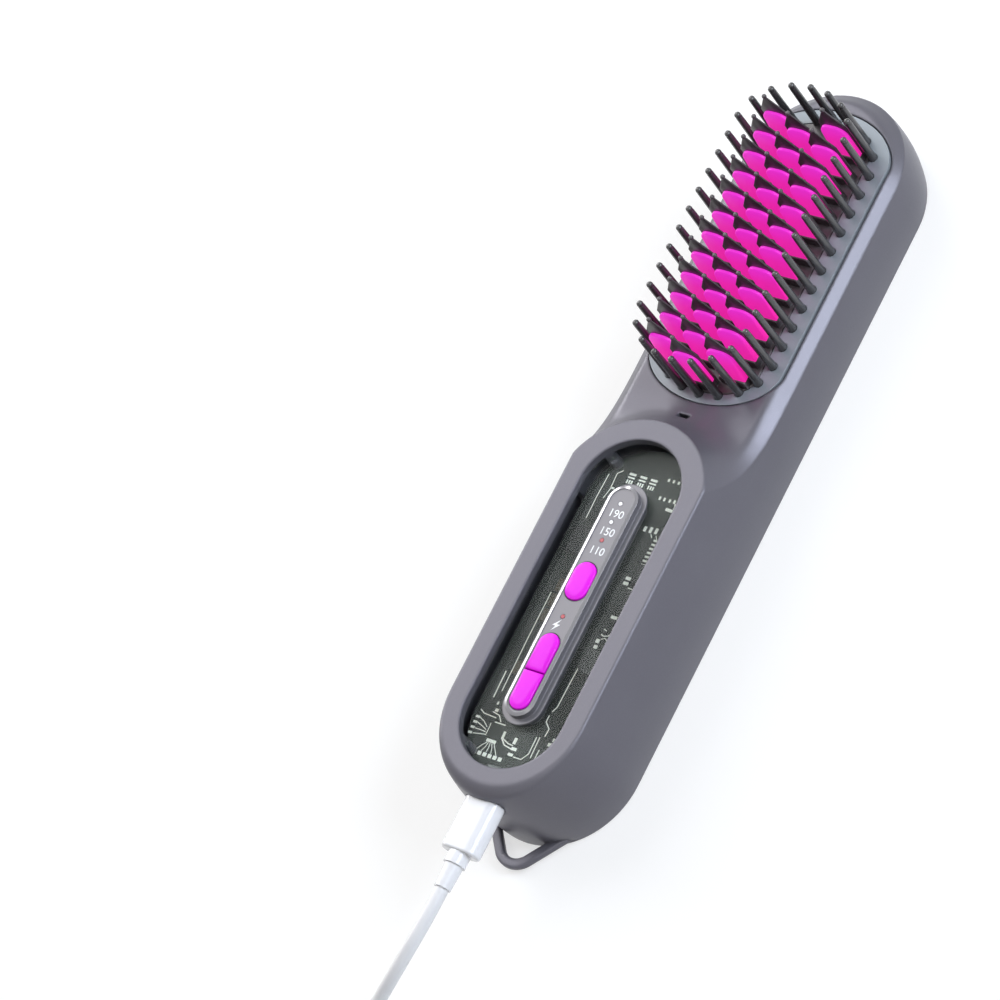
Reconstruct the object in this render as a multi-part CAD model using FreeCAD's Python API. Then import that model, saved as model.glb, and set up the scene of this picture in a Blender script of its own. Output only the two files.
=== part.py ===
import FreeCAD, Part
import math
import os

Vec = FreeCAD.Vector

# Millimetres. X is across, Y runs along the brush with the head at +Y, Z points out of the
# bristle side. The origin is the middle of the flat back.

# Body shell
body_length = 195.0
body_half_width = 21.8
belly_height = 9.0
foot_inset = 1.2
bezel_inset = 2.9
handle_height = 28.6
back_edge_round = 0.6
bezel_edge_round = 0.7
shell_wall = 2.0
front_wall = 2.4
cut_overrun = 3.0

# Fuller chin at the lower end
chin_foot = 0.8
chin_belly = 0.4
chin_belly_rise = 4.0
chin_brow = 2.8
chin_drop = 3.1
chin_stations = 9

# Head face and neck
face_height = 20.8
face_inset = 3.4
face_slope = 1.12
face_crease = 1.6
neck_axis_shift = 0.7
flare_ease = 0.7
flare_run = 20.4
flare_drop = 4.8
flare_rise = 8.0
neck_blend = 4.0
neck_end_inset = 1.2
neck_room_inset = 1.9
neck_columns = 49
neck_rows = 42

# Ion outlet in the neck
ion_slot_reach_share = 0.126666666666667
ion_slot_width = 3.2
ion_slot_gap = 1.2

# Rear cover
cover_thickness = 1.8
cover_rim = 1.15
cover_gap = 0.15
skirt_wall = 1.1
skirt_height = 3.4
skirt_gap = 0.6
skirt_inset = 3.3
hook_length = 6.0
hook_reach = 1.1
hook_height = 0.9
hook_gap = 0.15
hook_place_shares = (-0.8, 0.0, 0.8)

# Hanging loop
loop_low = 1.0
loop_thickness = 1.8
loop_width = 1.8
loop_inset = 0.3
loop_reach = 8.2
loop_tip_radius = 6.2
loop_root = 4.0
loop_edge_round = 0.5

# Window and control strip
window_length_share = 0.441026
window_end_margin = 7.05
bezel_band = 5.25
lens_lip = 0.9
lens_thickness = 1.5
strip_length_share = 0.704651
strip_shift = 0.55
strip_half_width = 4.0
strip_proud = 0.1
strip_depth = 3.0
strip_gap = 0.1
strip_edge_round = 0.5
strip_rim_width = 1.4
strip_rim_height = 0.6

# Buttons and their switches
temp_place_share = 0.080858
temp_length_share = 0.163366
temp_border = 1.0
power_place_share = -0.311881
power_length_share = 0.326733
power_border = 1.25
power_split = 0.3
button_rise = 0.5
button_crown = 0.4
button_gap = 0.15
button_flange = 0.4
button_flange_thickness = 0.8
button_ledge = 2.3
stem_radius = 1.4
plunger_radius = 1.0
plunger_gap = 0.1
plunger_height = 2.6
plunger_drop = 4.3
switch_width = 4.4
switch_height = 2.4
switch_bore_floor = 0.7
power_stem_share = 0.5

# Indicator lights
dot_place_shares = (0.422442, 0.341584, 0.261551, -0.072607)
dot_radius = 0.5
dot_gap = 0.05
dot_rise = 0.05
led_width = 1.6
led_height = 0.8

# Circuit board and chassis
board_depth = 8.2
board_thickness = 1.6
board_shift = 0.05
board_margin = 1.95
board_end_inset = 0.75
boss_inset = 4.1
boss_end_shift = 9.7
boss_radius = 1.5
boss_gap = 0.2
screw_radius = 0.8
screw_head_radius = 1.5
screw_head_height = 1.2
screw_bite = 3.6
screw_hole_radius = 0.95
chassis_room = 3.2
chassis_thickness = 1.0
chassis_inset = 1.0
chassis_post_radius = 1.9

# Parts on the board
chip_width = 7.0
chip_height = 1.2
chip_inset = 6.0
chip_place_share = 0.203488
transistor_length = 5.0
transistor_width = 4.0
transistor_height = 1.5
transistor_inset = 5.8
transistor_place_shares = (0.156977, 0.075581)
inductor_width = 6.2
inductor_height = 3.0
inductor_inset = 6.0
inductor_place_share = -0.122093
inductor_round = 1.2
capacitor_length = 3.2
capacitor_width = 1.8
capacitor_height = 1.4
capacitor_inset = 6.2
capacitor_place_shares = (0.063953, 0.017442, -0.02907, -0.19186)
connector_length = 8.0
connector_width = 4.2
connector_height = 2.0
connector_inset = 7.0

# Charging socket
socket_half_width = 4.47
socket_half_height = 1.63
socket_wall = 0.25
socket_length = 7.35
socket_inset = 0.45
port_gap = 0.15
tongue_half_width = 3.3
tongue_thickness = 0.7
tongue_length = 4.8
tongue_base = 1.6

# Battery and wires
battery_over = 4.8
battery_gap = 0.6
battery_round = 2.0
battery_pad_inset = 6.0
battery_pad_side = 3.3
pad_lower_thickness = 0.8
pad_upper_thickness = 1.0
lead_radius = 0.6
lead_start_share = 0.75
lead_spread = 2.4
lead_reach = 3.6
lead_lift = 1.2
heater_lead_x = 3.6
lead_window_width = 10.0
lead_window_length = 9.0
lead_window_inset = 9.65

# Bristle field
insert_length_share = 0.411282
insert_end_margin = 6.62
insert_inset = 3.3
insert_end_depth = 12.1
insert_thickness = 2.0
insert_gap = 0.28
insert_ledge = 0.6
field_shift = 0.38
ring_inset = 3.5
ring_end_inset = 0.9
ring_straight_inset = 1.8
ring_side_count = 11
ring_end_count = 7
ring_margin = 1.2
ring_proud = 0.1
ring_flange = 0.4
ring_flange_thickness = 1.2
bristle_height = 17.2
bristle_foot_radius = 1.15
bristle_tip_radius = 0.8
bristle_gap = 0.1
seam_gap = 0.15

# Heated fins and guard blades
guard_inset = 2.1
guard_straight_over = 4.4
guard_end_inset = 5.0
guard_flange = 1.4
guard_flange_thickness = 1.2
tooth_pitch_share = 0.10687
tooth_rows = 12
tooth_shift = 1.4
tooth_column_gap = 1.05
fin_width_share = 0.282946
fin_rise = 13.7
fin_crown = 7.2
fin_crest = 0.7
fin_foot = 1.9
fin_gap = 0.05
blade_over = 0.25
blade_shoulder = 13.3
blade_rise = 20.6
blade_neck = 0.8
blade_tip_radius = 0.5
blade_thickness = 0.7

# Heater under the fins
comb_plate_thickness = 2.0
comb_plate_margin = 0.6
heater_inset = 1.9
heater_end_inset = 3.8
heater_thickness = 1.6
mica_margin = 0.8
mica_thickness = 0.5
clamp_inset = 0.3
clamp_end_inset = 4.0
clamp_thickness = 1.2
clamp_ear_half = 1.9
clamp_ear_inset = 2.4
clamp_ear_shares = (-0.36, 0.36)
clamp_boss_radius = 1.9
clamp_boss_height = 2.7
clamp_bite = 2.4
fuse_radius = 1.8
fuse_length = 10.0
fuse_shift = 12.0
sensor_radius = 1.2
sensor_length = 7.0
sensor_shift = -14.0

# Ion generator
ion_width = 18.0
ion_length_share = 0.0615384615384615
ion_head_room = 3.8
ion_pad_thickness = 1.0
ion_edge_round = 1.0
needle_radius = 0.4
needle_drop = 1.3
needle_socket_radius = 1.6
needle_socket_height = 2.4

# Charging plug
plug_shell_half_width = 4.12
plug_shell_half_height = 1.2
plug_shell_wall = 0.3
plug_insert_depth = 5.6
plug_front_gap = 0.5
overmould_half_width = 5.1
overmould_half_height = 3.0
overmould_length = 13.4
overmould_edge_round = 0.6
relief_collar_radius = 2.7
relief_collar_length = 3.0
relief_end_radius = 2.0
relief_length = 9.0

# Charging lead: each route point is across, back from the plug, and a share of the plug's height
cord_diameter = 3.3
cord_bend_share = 0.45
cord_across = (0.0, -2.9, -8.4, -14.2, -19.4)
cord_back = (6.9, 18.2, 28.1, 37.1, 45.9)
cord_height_shares = (1.0, 0.847, 0.493, 0.149, 0.0177)
cord_lead_in = 9.0
coil_x0 = 1.5
coil_back = 66.8
coil_outer = 24.0
coil_step = 4.6
coil_layer = 4.4
coil_half_turns = 6
coil_last_half_turns = 5
tail_lead_out = 6.0
tail_across = 1.0
tail_drop_run = 7.8
tail_end_run = 9.0
least_turns_points = 240

# Tie round the coil
tie_thickness = 0.5
tie_width = 7.0
tie_gap = 0.1

# Far plug
far_half_width = 7.6
far_half_height = 4.2
far_floor_gap = 0.1
far_length = 17.0
far_edge_round = 1.0
far_shell_half_width = 6.0
far_shell_half_height = 2.25
far_shell_length = 12.0
far_shell_wall = 0.35
far_tongue_thickness = 1.8

# Body, worked out from the sizes above
body_half_straight = body_length / 2 - body_half_width
foot_half_width = body_half_width - foot_inset
bezel_half_width = body_half_width - bezel_inset
face_half_width = body_half_width - face_inset
front_inner = handle_height - front_wall
cover_half_width = foot_half_width - cover_rim - cover_gap
skirt_half_width = cover_half_width - skirt_inset

# Window, strip and buttons
window_length = body_length * window_length_share
window_half_width = bezel_half_width - bezel_band
window_half_straight = window_length / 2 - window_half_width
window_y = window_end_margin + window_length / 2 - body_length / 2
lens_low = front_inner - lens_thickness
strip_y = window_y + strip_shift
strip_length = window_length * strip_length_share
strip_half_straight = strip_length / 2 - strip_half_width
strip_top = handle_height + strip_proud
strip_bottom = front_inner - strip_depth
temp_y = strip_y + strip_length * temp_place_share
temp_half_width = strip_half_width - temp_border
temp_length = strip_length * temp_length_share
power_y = strip_y + strip_length * power_place_share
power_half_width = strip_half_width - power_border
power_length = strip_length * power_length_share
flange_top = strip_top - button_ledge
plunger_top = strip_top - plunger_drop
dot_places = [strip_y + strip_length * share for share in dot_place_shares]

# Board, chassis and battery
board_top = handle_height - board_depth
board_y = window_y - board_shift
board_half_width = window_half_width + board_margin
board_half_straight = window_half_straight - board_end_inset
boss_x = board_half_width - boss_inset
boss_places = [
    (side * boss_x, board_y + end * (board_half_straight + boss_end_shift))
    for side in (-1, 1)
    for end in (-1, 1)
]
usb_z = board_top + socket_half_height
chassis_low = board_top - board_thickness - chassis_room
chassis_half_width = board_half_width - chassis_inset
battery_length = 2 * board_half_straight + battery_over
battery_width = 2 * (skirt_half_width - skirt_wall - battery_gap)
battery_low = cover_thickness + pad_lower_thickness
battery_height = chassis_low - pad_upper_thickness - battery_low
lead_window_y = board_y + board_half_straight + board_half_width - lead_window_inset

# Neck
neck_axis_y = window_y + window_half_straight - neck_axis_shift
neck_room_radius = bezel_half_width - neck_room_inset
flare_top_radius = bezel_half_width + flare_ease
flare_floor_radius = flare_top_radius + flare_run
flare_floor_height = face_height - flare_drop
neck_end = neck_axis_y + flare_floor_radius - neck_end_inset
ion_slot_y = neck_axis_y + body_length * ion_slot_reach_share
ion_length = body_length * ion_length_share
ion_low = cover_thickness + ion_pad_thickness
needle_top = face_height - needle_drop

# Head
insert_half_width = body_half_width - insert_inset
insert_length = body_length * insert_length_share
insert_half_straight = insert_length / 2 - insert_end_depth
insert_y = body_length / 2 - insert_end_margin - insert_length / 2
insert_low = face_height - insert_thickness
field_y = insert_y - field_shift
ring_half_width = insert_half_width - ring_inset
ring_half_straight = insert_half_straight - ring_straight_inset
ring_end_depth = insert_end_depth - ring_end_inset
guard_half_width = ring_half_width - guard_inset
guard_half_straight = ring_half_straight + guard_straight_over
guard_end_depth = ring_end_depth - guard_end_inset
guard_top = face_height + ring_proud
tooth_pitch = 2 * ring_half_straight * tooth_pitch_share
tooth_first_y = field_y - tooth_shift - (tooth_rows - 0.5) * tooth_pitch / 2
fin_half_width = guard_half_width * fin_width_share
fin_top = face_height + fin_rise
tooth_column_x = guard_half_width - fin_half_width - tooth_column_gap
blade_half_width = fin_half_width + blade_over
blade_top = face_height + blade_rise
comb_top = insert_low - ring_flange_thickness - guard_flange_thickness
comb_low = comb_top - comb_plate_thickness
heater_width = 2 * (guard_half_width - heater_inset)
heater_length = 2 * (guard_half_straight + guard_end_depth - heater_end_inset)
heater_low = comb_low - heater_thickness
mica_low = heater_low - mica_thickness
clamp_half_width = guard_half_width - clamp_inset
clamp_length = heater_length - 2 * clamp_end_inset
clamp_low = mica_low - clamp_thickness
clamp_ear_x = body_half_width - shell_wall - clamp_ear_inset
ear_places = [
    (side * clamp_ear_x, field_y + share * clamp_length)
    for side in (-1, 1)
    for share in clamp_ear_shares
]
low_room_height = mica_low + clamp_boss_height
ion_height = low_room_height - ion_low - ion_head_room
cord_radius = cord_diameter / 2


def block(x0, x1, y0, y1, z0, z1):
    return Part.makeBox(x1 - x0, y1 - y0, z1 - z0, Vec(x0, y0, z0))


def centred_block(x, y, width, length, low, high):
    return block(x - width / 2, x + width / 2, y - length / 2, y + length / 2, low, high)


def rod(radius, x, y, low, high):
    return Part.makeCylinder(radius, high - low, Vec(x, y, low))


def face_of(edges):
    return Part.Face(Part.Wire(edges))


def line(a, b):
    return Part.LineSegment(a, b).toShape()


def arc(a, b, c):
    return Part.Arc(a, b, c).toShape()


# Upright prism with straight sides and round ends
def stadium(half_width, half_straight, y, low, high):
    top, bottom = y + half_straight, y - half_straight
    edges = [
        line(Vec(half_width, bottom, low), Vec(half_width, top, low)),
        arc(Vec(half_width, top, low), Vec(0, top + half_width, low), Vec(-half_width, top, low)),
        line(Vec(-half_width, top, low), Vec(-half_width, bottom, low)),
        arc(Vec(-half_width, bottom, low), Vec(0, bottom - half_width, low), Vec(half_width, bottom, low)),
    ]
    return face_of(edges).extrude(Vec(0, 0, high - low))


# Upright prism with straight sides and flattened round ends
def oval(half_width, half_straight, depth, y, low, high):
    top, bottom = y + half_straight, y - half_straight
    end_up = Part.ArcOfEllipse(Part.Ellipse(Vec(0, top, low), half_width, depth), 0, math.pi)
    end_down = Part.ArcOfEllipse(Part.Ellipse(Vec(0, bottom, low), half_width, depth), math.pi, 2 * math.pi)
    edges = [
        line(Vec(half_width, bottom, low), Vec(half_width, top, low)),
        end_up.toShape(),
        line(Vec(-half_width, top, low), Vec(-half_width, bottom, low)),
        end_down.toShape(),
    ]
    return face_of(edges).extrude(Vec(0, 0, high - low))


# Prism along Y with a rounded slot section, as a plug or socket has
def slot_along_y(half_width, half_height, z, y0, y1, x=0):
    run = half_width - half_height
    edges = [
        line(Vec(x - run, y0, z - half_height), Vec(x + run, y0, z - half_height)),
        arc(Vec(x + run, y0, z - half_height), Vec(x + half_width, y0, z), Vec(x + run, y0, z + half_height)),
        line(Vec(x + run, y0, z + half_height), Vec(x - run, y0, z + half_height)),
        arc(Vec(x - run, y0, z + half_height), Vec(x - half_width, y0, z), Vec(x - run, y0, z - half_height)),
    ]
    return face_of(edges).extrude(Vec(0, y1 - y0, 0))


def joined(shapes):
    first = shapes[0]
    return first.multiFuse(shapes[1:]).removeSplitter() if len(shapes) > 1 else first


def quarter_mid(centre_x, centre_z, radius, x_side, z_side):
    reach = radius * math.sqrt(0.5)
    return Vec(centre_x + x_side * reach, 0, centre_z + z_side * reach)


# Lower end with a profile that grows fuller toward the middle of the chin
def chin(foot, belly, bezel, low, high, low_round, high_round):
    end_y = -body_half_straight
    top = bezel - high_round
    half = math.sqrt(0.5)
    wires = []
    for station in range(chin_stations):
        turn = math.pi * station / (chin_stations - 1)
        swell = math.sin(turn) ** 2

        def at(radius, z):
            return Vec(radius * math.cos(turn), end_y - radius * math.sin(turn), z)

        foot_in = foot + chin_foot * swell - low_round
        middle = at(belly + chin_belly * swell, belly_height + chin_belly_rise * swell)
        drop = high_round + (chin_drop - high_round) * swell
        brow = high_round + chin_brow * swell
        low_edge, wall_low = at(foot_in, low), at(foot_in + low_round, low + low_round)
        wall_high = at(top + brow, high - drop)
        wires.append(Part.Wire([
            arc(low_edge, at(foot_in + low_round * half, low + low_round * (1 - half)), wall_low),
            arc(wall_low, middle, wall_high),
            arc(wall_high, at(top + brow * half, high - drop * (1 - half)), at(top, high)),
        ]))
    skin = Part.makeLoft(wires, False, False)
    first, last = wires[0], wires[-1]
    under = line(last.OrderedVertexes[0].Point, first.OrderedVertexes[0].Point)
    over = line(first.OrderedVertexes[-1].Point, last.OrderedVertexes[-1].Point)
    low_rim = [e for e in skin.Edges if e.BoundBox.ZMax < low + low_round / 2]
    high_rim = [e for e in skin.Edges if e.BoundBox.ZMin > high - high_round / 2]
    lids = [face_of(Part.__sortEdges__([under] + low_rim)), face_of(Part.__sortEdges__([over] + high_rim))]
    lids.append(face_of(Part.__sortEdges__([under, over] + first.Edges + last.Edges)))
    shell = Part.makeShell(skin.Faces + lids)
    shell.sewShape()
    solid = Part.makeSolid(shell)
    if solid.Volume < 0:
        solid.reverse()
    return solid


# Rounded body: one side profile run along the straight sides and turned round both ends
def barrel(foot, belly, bezel, low, high, low_round, high_round, full_chin):
    edges = [
        line(Vec(0, 0, low), Vec(foot - low_round, 0, low)),
        arc(
            Vec(foot - low_round, 0, low),
            quarter_mid(foot - low_round, low + low_round, low_round, 1, -1),
            Vec(foot, 0, low + low_round),
        ),
        arc(Vec(foot, 0, low + low_round), Vec(belly, 0, belly_height), Vec(bezel, 0, high - high_round)),
        arc(
            Vec(bezel, 0, high - high_round),
            quarter_mid(bezel - high_round, high - high_round, high_round, 1, 1),
            Vec(bezel - high_round, 0, high),
        ),
        line(Vec(bezel - high_round, 0, high), Vec(0, 0, high)),
        line(Vec(0, 0, high), Vec(0, 0, low)),
    ]
    side = face_of(edges)
    right = side.copy()
    right.translate(Vec(0, -body_half_straight, 0))
    right = right.extrude(Vec(0, 2 * body_half_straight, 0))
    left = right.mirror(Vec(0, 0, 0), Vec(1, 0, 0))
    ends = []
    for way in (1, -1):
        end = side.copy()
        end.translate(Vec(0, way * body_half_straight, 0))
        ends.append(end.revolve(Vec(0, way * body_half_straight, 0), Vec(0, 0, way), 180))
    if full_chin:
        ends[1] = chin(foot, belly, bezel, low, high, low_round, high_round)
    return joined([right, left] + ends)


def soft_high(a, b, width):
    return max(a, b) + max(width - abs(a - b), 0) ** 2 / (4 * width)


def soft_low(a, b, width):
    return min(a, b) - max(width - abs(a - b), 0) ** 2 / (4 * width)


# Height of the head face at a distance from the middle line
def crown_height(x):
    return soft_low(face_height, face_height - (abs(x) - face_half_width) * face_slope, face_crease)


# Height of the hollow sweep from the handle frame down to the head
def flare_height(radius):
    drop = handle_height - flare_floor_height
    run = flare_floor_radius - flare_top_radius
    bend = (run ** 2 + drop ** 2) / (2 * drop)
    if radius >= flare_floor_radius:
        return flare_floor_height
    if radius >= flare_top_radius:
        return flare_floor_height + bend - math.sqrt(bend ** 2 - (flare_floor_radius - radius) ** 2)
    start_slope = run / (bend - drop)
    full = 2 * flare_rise / start_slope
    inside = min(flare_top_radius - radius, full)
    return handle_height + start_slope * inside * (1 - inside / (2 * full))


def neck_height(x, y):
    radius = math.hypot(x, max(y - neck_axis_y, 0))
    return soft_high(crown_height(x), flare_height(radius), neck_blend)


# Everything under the front surface of the neck and head
def under_front():
    half = body_half_width + cut_overrun
    start = neck_axis_y - cut_overrun
    grid = []
    for row in range(neck_rows):
        y = start + (neck_end - start) * row / (neck_rows - 1)
        xs = [half * (2 * column / (neck_columns - 1) - 1) for column in range(neck_columns)]
        grid.append([Vec(x, y, neck_height(x, y)) for x in xs])
    surface = Part.BSplineSurface()
    surface.interpolate(grid)
    floor = -cut_overrun
    deep = handle_height + flare_rise + 2 * cut_overrun
    neck = surface.toShape().extrude(Vec(0, 0, -deep))
    section = surface.uIso(surface.bounds()[1])
    first, last = section.FirstParameter, section.LastParameter
    middle = section.parameter(Vec(0, neck_end, crown_height(0)))
    left, right = Vec(-half, neck_end, floor), Vec(half, neck_end, floor)
    whole = face_of([
        section.toShape(first, last),
        line(section.value(last), right),
        line(right, left),
        line(left, section.value(first)),
    ])
    straight = whole.extrude(Vec(0, body_half_straight - neck_end, 0))
    centre = Vec(0, neck_end, floor)
    side = face_of([
        section.toShape(middle, last),
        line(section.value(last), right),
        line(right, centre),
        line(centre, section.value(middle)),
    ])
    side.translate(Vec(0, body_half_straight - neck_end, 0))
    end = side.revolve(Vec(0, body_half_straight, 0), Vec(0, 0, 1), 180)
    return neck, straight, end


def outer_body():
    whole = barrel(
        foot_half_width, body_half_width, bezel_half_width,
        0, handle_height, back_edge_round, bezel_edge_round, True,
    )
    half = body_half_width + cut_overrun
    neck_start = neck_axis_y - cut_overrun
    handle = block(-half, half, -body_length, neck_start, -cut_overrun, handle_height + cut_overrun)
    pieces = [whole.common(keep) for keep in (handle,) + under_front()]
    return joined(pieces)


def inner_room():
    room = barrel(
        foot_half_width - shell_wall, body_half_width - shell_wall, bezel_half_width - shell_wall,
        0, front_inner, back_edge_round, bezel_edge_round, False,
    )
    half = body_half_width + cut_overrun
    top = handle_height + cut_overrun
    above = block(-half, half, neck_axis_y, body_length, low_room_height, top)
    return room.cut(above.cut(rod(neck_room_radius, 0, neck_axis_y, low_room_height, top)))


def screw_bosses():
    posts = [rod(boss_radius, x, y, board_top, front_inner + front_wall / 2) for x, y in boss_places]
    ears = [rod(clamp_boss_radius, x, y, mica_low, low_room_height + shell_wall / 2) for x, y in ear_places]
    return posts + ears


def screw_bores():
    posts = [rod(screw_radius, x, y, board_top - cut_overrun, board_top + screw_bite) for x, y in boss_places]
    ears = [rod(screw_radius, x, y, mica_low - cut_overrun, mica_low + clamp_bite) for x, y in ear_places]
    return posts + ears


def hook_blocks(gap):
    blocks = []
    outer = cover_half_width - skirt_gap
    low = cover_thickness + skirt_height - hook_height
    for share in hook_place_shares:
        y = share * body_half_straight
        for side in (-1, 1):
            x0 = side * (outer - skirt_wall / 2)
            x1 = side * (outer + hook_reach + gap)
            lows, highs = min(x0, x1), max(x0, x1)
            y0, y1 = y - hook_length / 2 - gap, y + hook_length / 2 + gap
            blocks.append(block(lows, highs, y0, y1, low - gap, low + hook_height + gap))
    return blocks


def main_housing():
    solid = outer_body().cut(inner_room())
    solid = joined([solid] + screw_bosses())
    top = handle_height + cut_overrun
    cuts = screw_bores() + hook_blocks(hook_gap)
    cuts.append(stadium(cover_half_width + cover_gap, body_half_straight, 0, -cut_overrun, cover_thickness))
    cuts.append(stadium(window_half_width, window_half_straight, window_y, front_inner - cut_overrun, top))
    cuts.append(oval(
        insert_half_width + insert_gap, insert_half_straight, insert_end_depth + insert_gap,
        insert_y, insert_low, top,
    ))
    cuts.append(oval(
        insert_half_width - insert_ledge, insert_half_straight, insert_end_depth - insert_ledge,
        insert_y, low_room_height, top,
    ))
    slot_low = low_room_height - cut_overrun
    cuts.append(centred_block(0, ion_slot_y, ion_slot_width, ion_slot_gap, slot_low, top))
    cuts.append(slot_along_y(
        socket_half_width + port_gap, socket_half_height + port_gap, usb_z,
        -body_length, socket_mouth() + socket_inset + socket_length + port_gap,
    ))
    cuts.append(slot_along_y(
        overmould_half_width + port_gap, overmould_half_height + port_gap, usb_z,
        -body_length, plug_front() + port_gap,
    ))
    cuts.append(loop_band())
    return solid.cut(Part.makeCompound(cuts))


def rear_cover():
    plate = stadium(cover_half_width, body_half_straight, 0, 0, cover_thickness)
    outer = cover_half_width - skirt_gap
    skirt_top = cover_thickness + skirt_height
    skirt = stadium(skirt_half_width, body_half_straight, 0, cover_thickness, skirt_top)
    skirt_inside = skirt_half_width - skirt_wall
    skirt = skirt.cut(stadium(skirt_inside, body_half_straight, 0, 0, skirt_top + cut_overrun))
    tabs = []
    for share in hook_place_shares:
        y = share * body_half_straight
        for side in (-1, 1):
            x0, x1 = side * (skirt_half_width - skirt_wall), side * outer
            tabs.append(block(
                min(x0, x1), max(x0, x1), y - hook_length / 2, y + hook_length / 2,
                cover_thickness, skirt_top,
            ))
    return joined([plate, skirt] + tabs + hook_blocks(0)).cut(loop_band())


# Outline of a belt round the lower end and a small tip circle
def belt(end_radius, tip_radius, low, high):
    end_y = -body_half_straight
    tip_y = end_y - (foot_half_width + loop_reach - loop_tip_radius)
    lean = math.asin((end_radius - tip_radius) / (end_y - tip_y))
    across, along = math.cos(lean), math.sin(lean)
    a = Vec(end_radius * across, end_y - end_radius * along, low)
    b = Vec(tip_radius * across, tip_y - tip_radius * along, low)
    mirror_a, mirror_b = Vec(-a.x, a.y, low), Vec(-b.x, b.y, low)
    right, left = Vec(end_radius, end_y, low), Vec(-end_radius, end_y, low)
    side_x, side_y = end_radius * math.cos(lean / 2), end_y - end_radius * math.sin(lean / 2)
    edges = [
        line(right, left),
        arc(left, Vec(-side_x, side_y, low), mirror_a),
        line(mirror_a, mirror_b),
        arc(mirror_b, Vec(0, tip_y - tip_radius, low), b),
        line(b, a),
        arc(a, Vec(side_x, side_y, low), right),
    ]
    return face_of(edges).extrude(Vec(0, 0, high - low))


def loop_root_y():
    return -body_half_straight - foot_half_width * math.sqrt(0.5)


# Strap with its roots let into the lower end of the shell
def loop_band():
    low, high = loop_low, loop_low + loop_thickness
    root = foot_half_width - loop_inset
    strap = belt(root, loop_tip_radius, low, high)
    inside = belt(root - loop_width, loop_tip_radius - loop_width, low, high)
    half = body_half_width + cut_overrun
    return strap.cut(inside).common(block(-half, half, -body_length, loop_root_y() + loop_root, low, high))


def hanging_loop():
    strap = loop_band()
    rims = []
    for edge in strap.Edges:
        box = edge.BoundBox
        if box.ZLength < loop_edge_round and box.YMax < loop_root_y():
            rims.append(edge)
    return strap.makeFillet(loop_edge_round, rims)


def strip_hole(half_width, length, gap, y, low, high):
    return stadium(half_width + gap, length / 2 - half_width, y, low, high)


def window_lens():
    lens = stadium(window_half_width + lens_lip, window_half_straight, window_y, lens_low, front_inner)
    cut_low = lens_low - cut_overrun
    cuts = [strip_hole(strip_half_width, strip_length, strip_gap, strip_y, cut_low, handle_height)]
    cuts += [rod(boss_radius + boss_gap, x, y, cut_low, handle_height) for x, y in boss_places]
    return lens.cut(Part.makeCompound(cuts))


def control_strip():
    bar = strip_hole(strip_half_width, strip_length, 0, strip_y, strip_bottom, strip_top)
    top_edges = [e for e in bar.Edges if e.BoundBox.ZMin > strip_top - strip_edge_round]
    bar = bar.makeFillet(strip_edge_round, top_edges)
    rim = stadium(
        strip_half_width + strip_rim_width, strip_half_straight, strip_y,
        front_inner, front_inner + strip_rim_height,
    )
    top = strip_top + cut_overrun
    low = strip_bottom - cut_overrun
    cuts = [
        strip_hole(temp_half_width, temp_length, button_gap, temp_y, low, top),
        strip_hole(power_half_width, power_length, button_gap, power_y, low, top),
        strip_hole(temp_half_width, temp_length, button_gap + button_flange, temp_y, low, flange_top),
        strip_hole(power_half_width, power_length, button_gap + button_flange, power_y, low, flange_top),
    ]
    cuts += [rod(dot_radius + dot_gap, 0, y, low, top) for y in dot_places]
    return joined([bar, rim]).cut(Part.makeCompound(cuts))


def light_guides():
    return [rod(dot_radius, 0, y, board_top + led_height, strip_top + dot_rise) for y in dot_places]


# Cap with a softened top edge, a flange under the strip and a stem down to its switch
def key_cap(cap, flange, stem_y):
    rim = [e for e in cap.Edges if e.BoundBox.ZMin > strip_top]
    cap = cap.makeFillet(button_crown, rim)
    stem = rod(stem_radius, 0, stem_y, plunger_top, flange_top)
    return joined([cap, flange, stem])


def temp_button():
    cap = strip_hole(temp_half_width, temp_length, 0, temp_y, flange_top, strip_top + button_rise)
    low = flange_top - button_flange_thickness
    flange = strip_hole(temp_half_width, temp_length, button_flange, temp_y, low, flange_top)
    return key_cap(cap, flange, temp_y)


# Half of the split key, on the upper or lower side of its middle
def power_key(way):
    half = strip_half_width
    near, far = power_y + way * power_split / 2, power_y + way * power_length
    keep = block(-half, half, min(near, far), max(near, far), plunger_top, strip_top + cut_overrun)
    cap = strip_hole(power_half_width, power_length, 0, power_y, flange_top, strip_top + button_rise)
    low = flange_top - button_flange_thickness
    flange = strip_hole(power_half_width, power_length, button_flange, power_y, low, flange_top)
    return key_cap(cap.common(keep), flange.common(keep), power_y + way * power_length / 2 * power_stem_share)


def switch_places():
    shift = power_length / 2 * power_stem_share
    return [temp_y, power_y + shift, power_y - shift]


def plunger(y):
    return rod(plunger_radius, 0, y, plunger_top - plunger_height, plunger_top)


def switch_bodies():
    bodies = []
    for y in switch_places():
        body = centred_block(0, y, switch_width, switch_width, board_top, board_top + switch_height)
        bore = rod(plunger_radius + plunger_gap, 0, y, board_top + switch_bore_floor, handle_height)
        bodies.append(body.cut(bore))
    return bodies


def status_leds():
    return [centred_block(0, y, led_width, led_width, board_top, board_top + led_height) for y in dot_places]


def circuit_board():
    low = board_top - board_thickness
    board = stadium(board_half_width, board_half_straight, board_y, low, board_top)
    bores = [rod(screw_hole_radius, x, y, low - cut_overrun, handle_height) for x, y in boss_places]
    return board.cut(Part.makeCompound(bores))


def on_board(x, share, width, length, height):
    return centred_block(x, board_y + window_length * share, width, length, board_top, board_top + height)


def controller_chip():
    return on_board(chip_inset - board_half_width, chip_place_share, chip_width, chip_width, chip_height)


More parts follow.
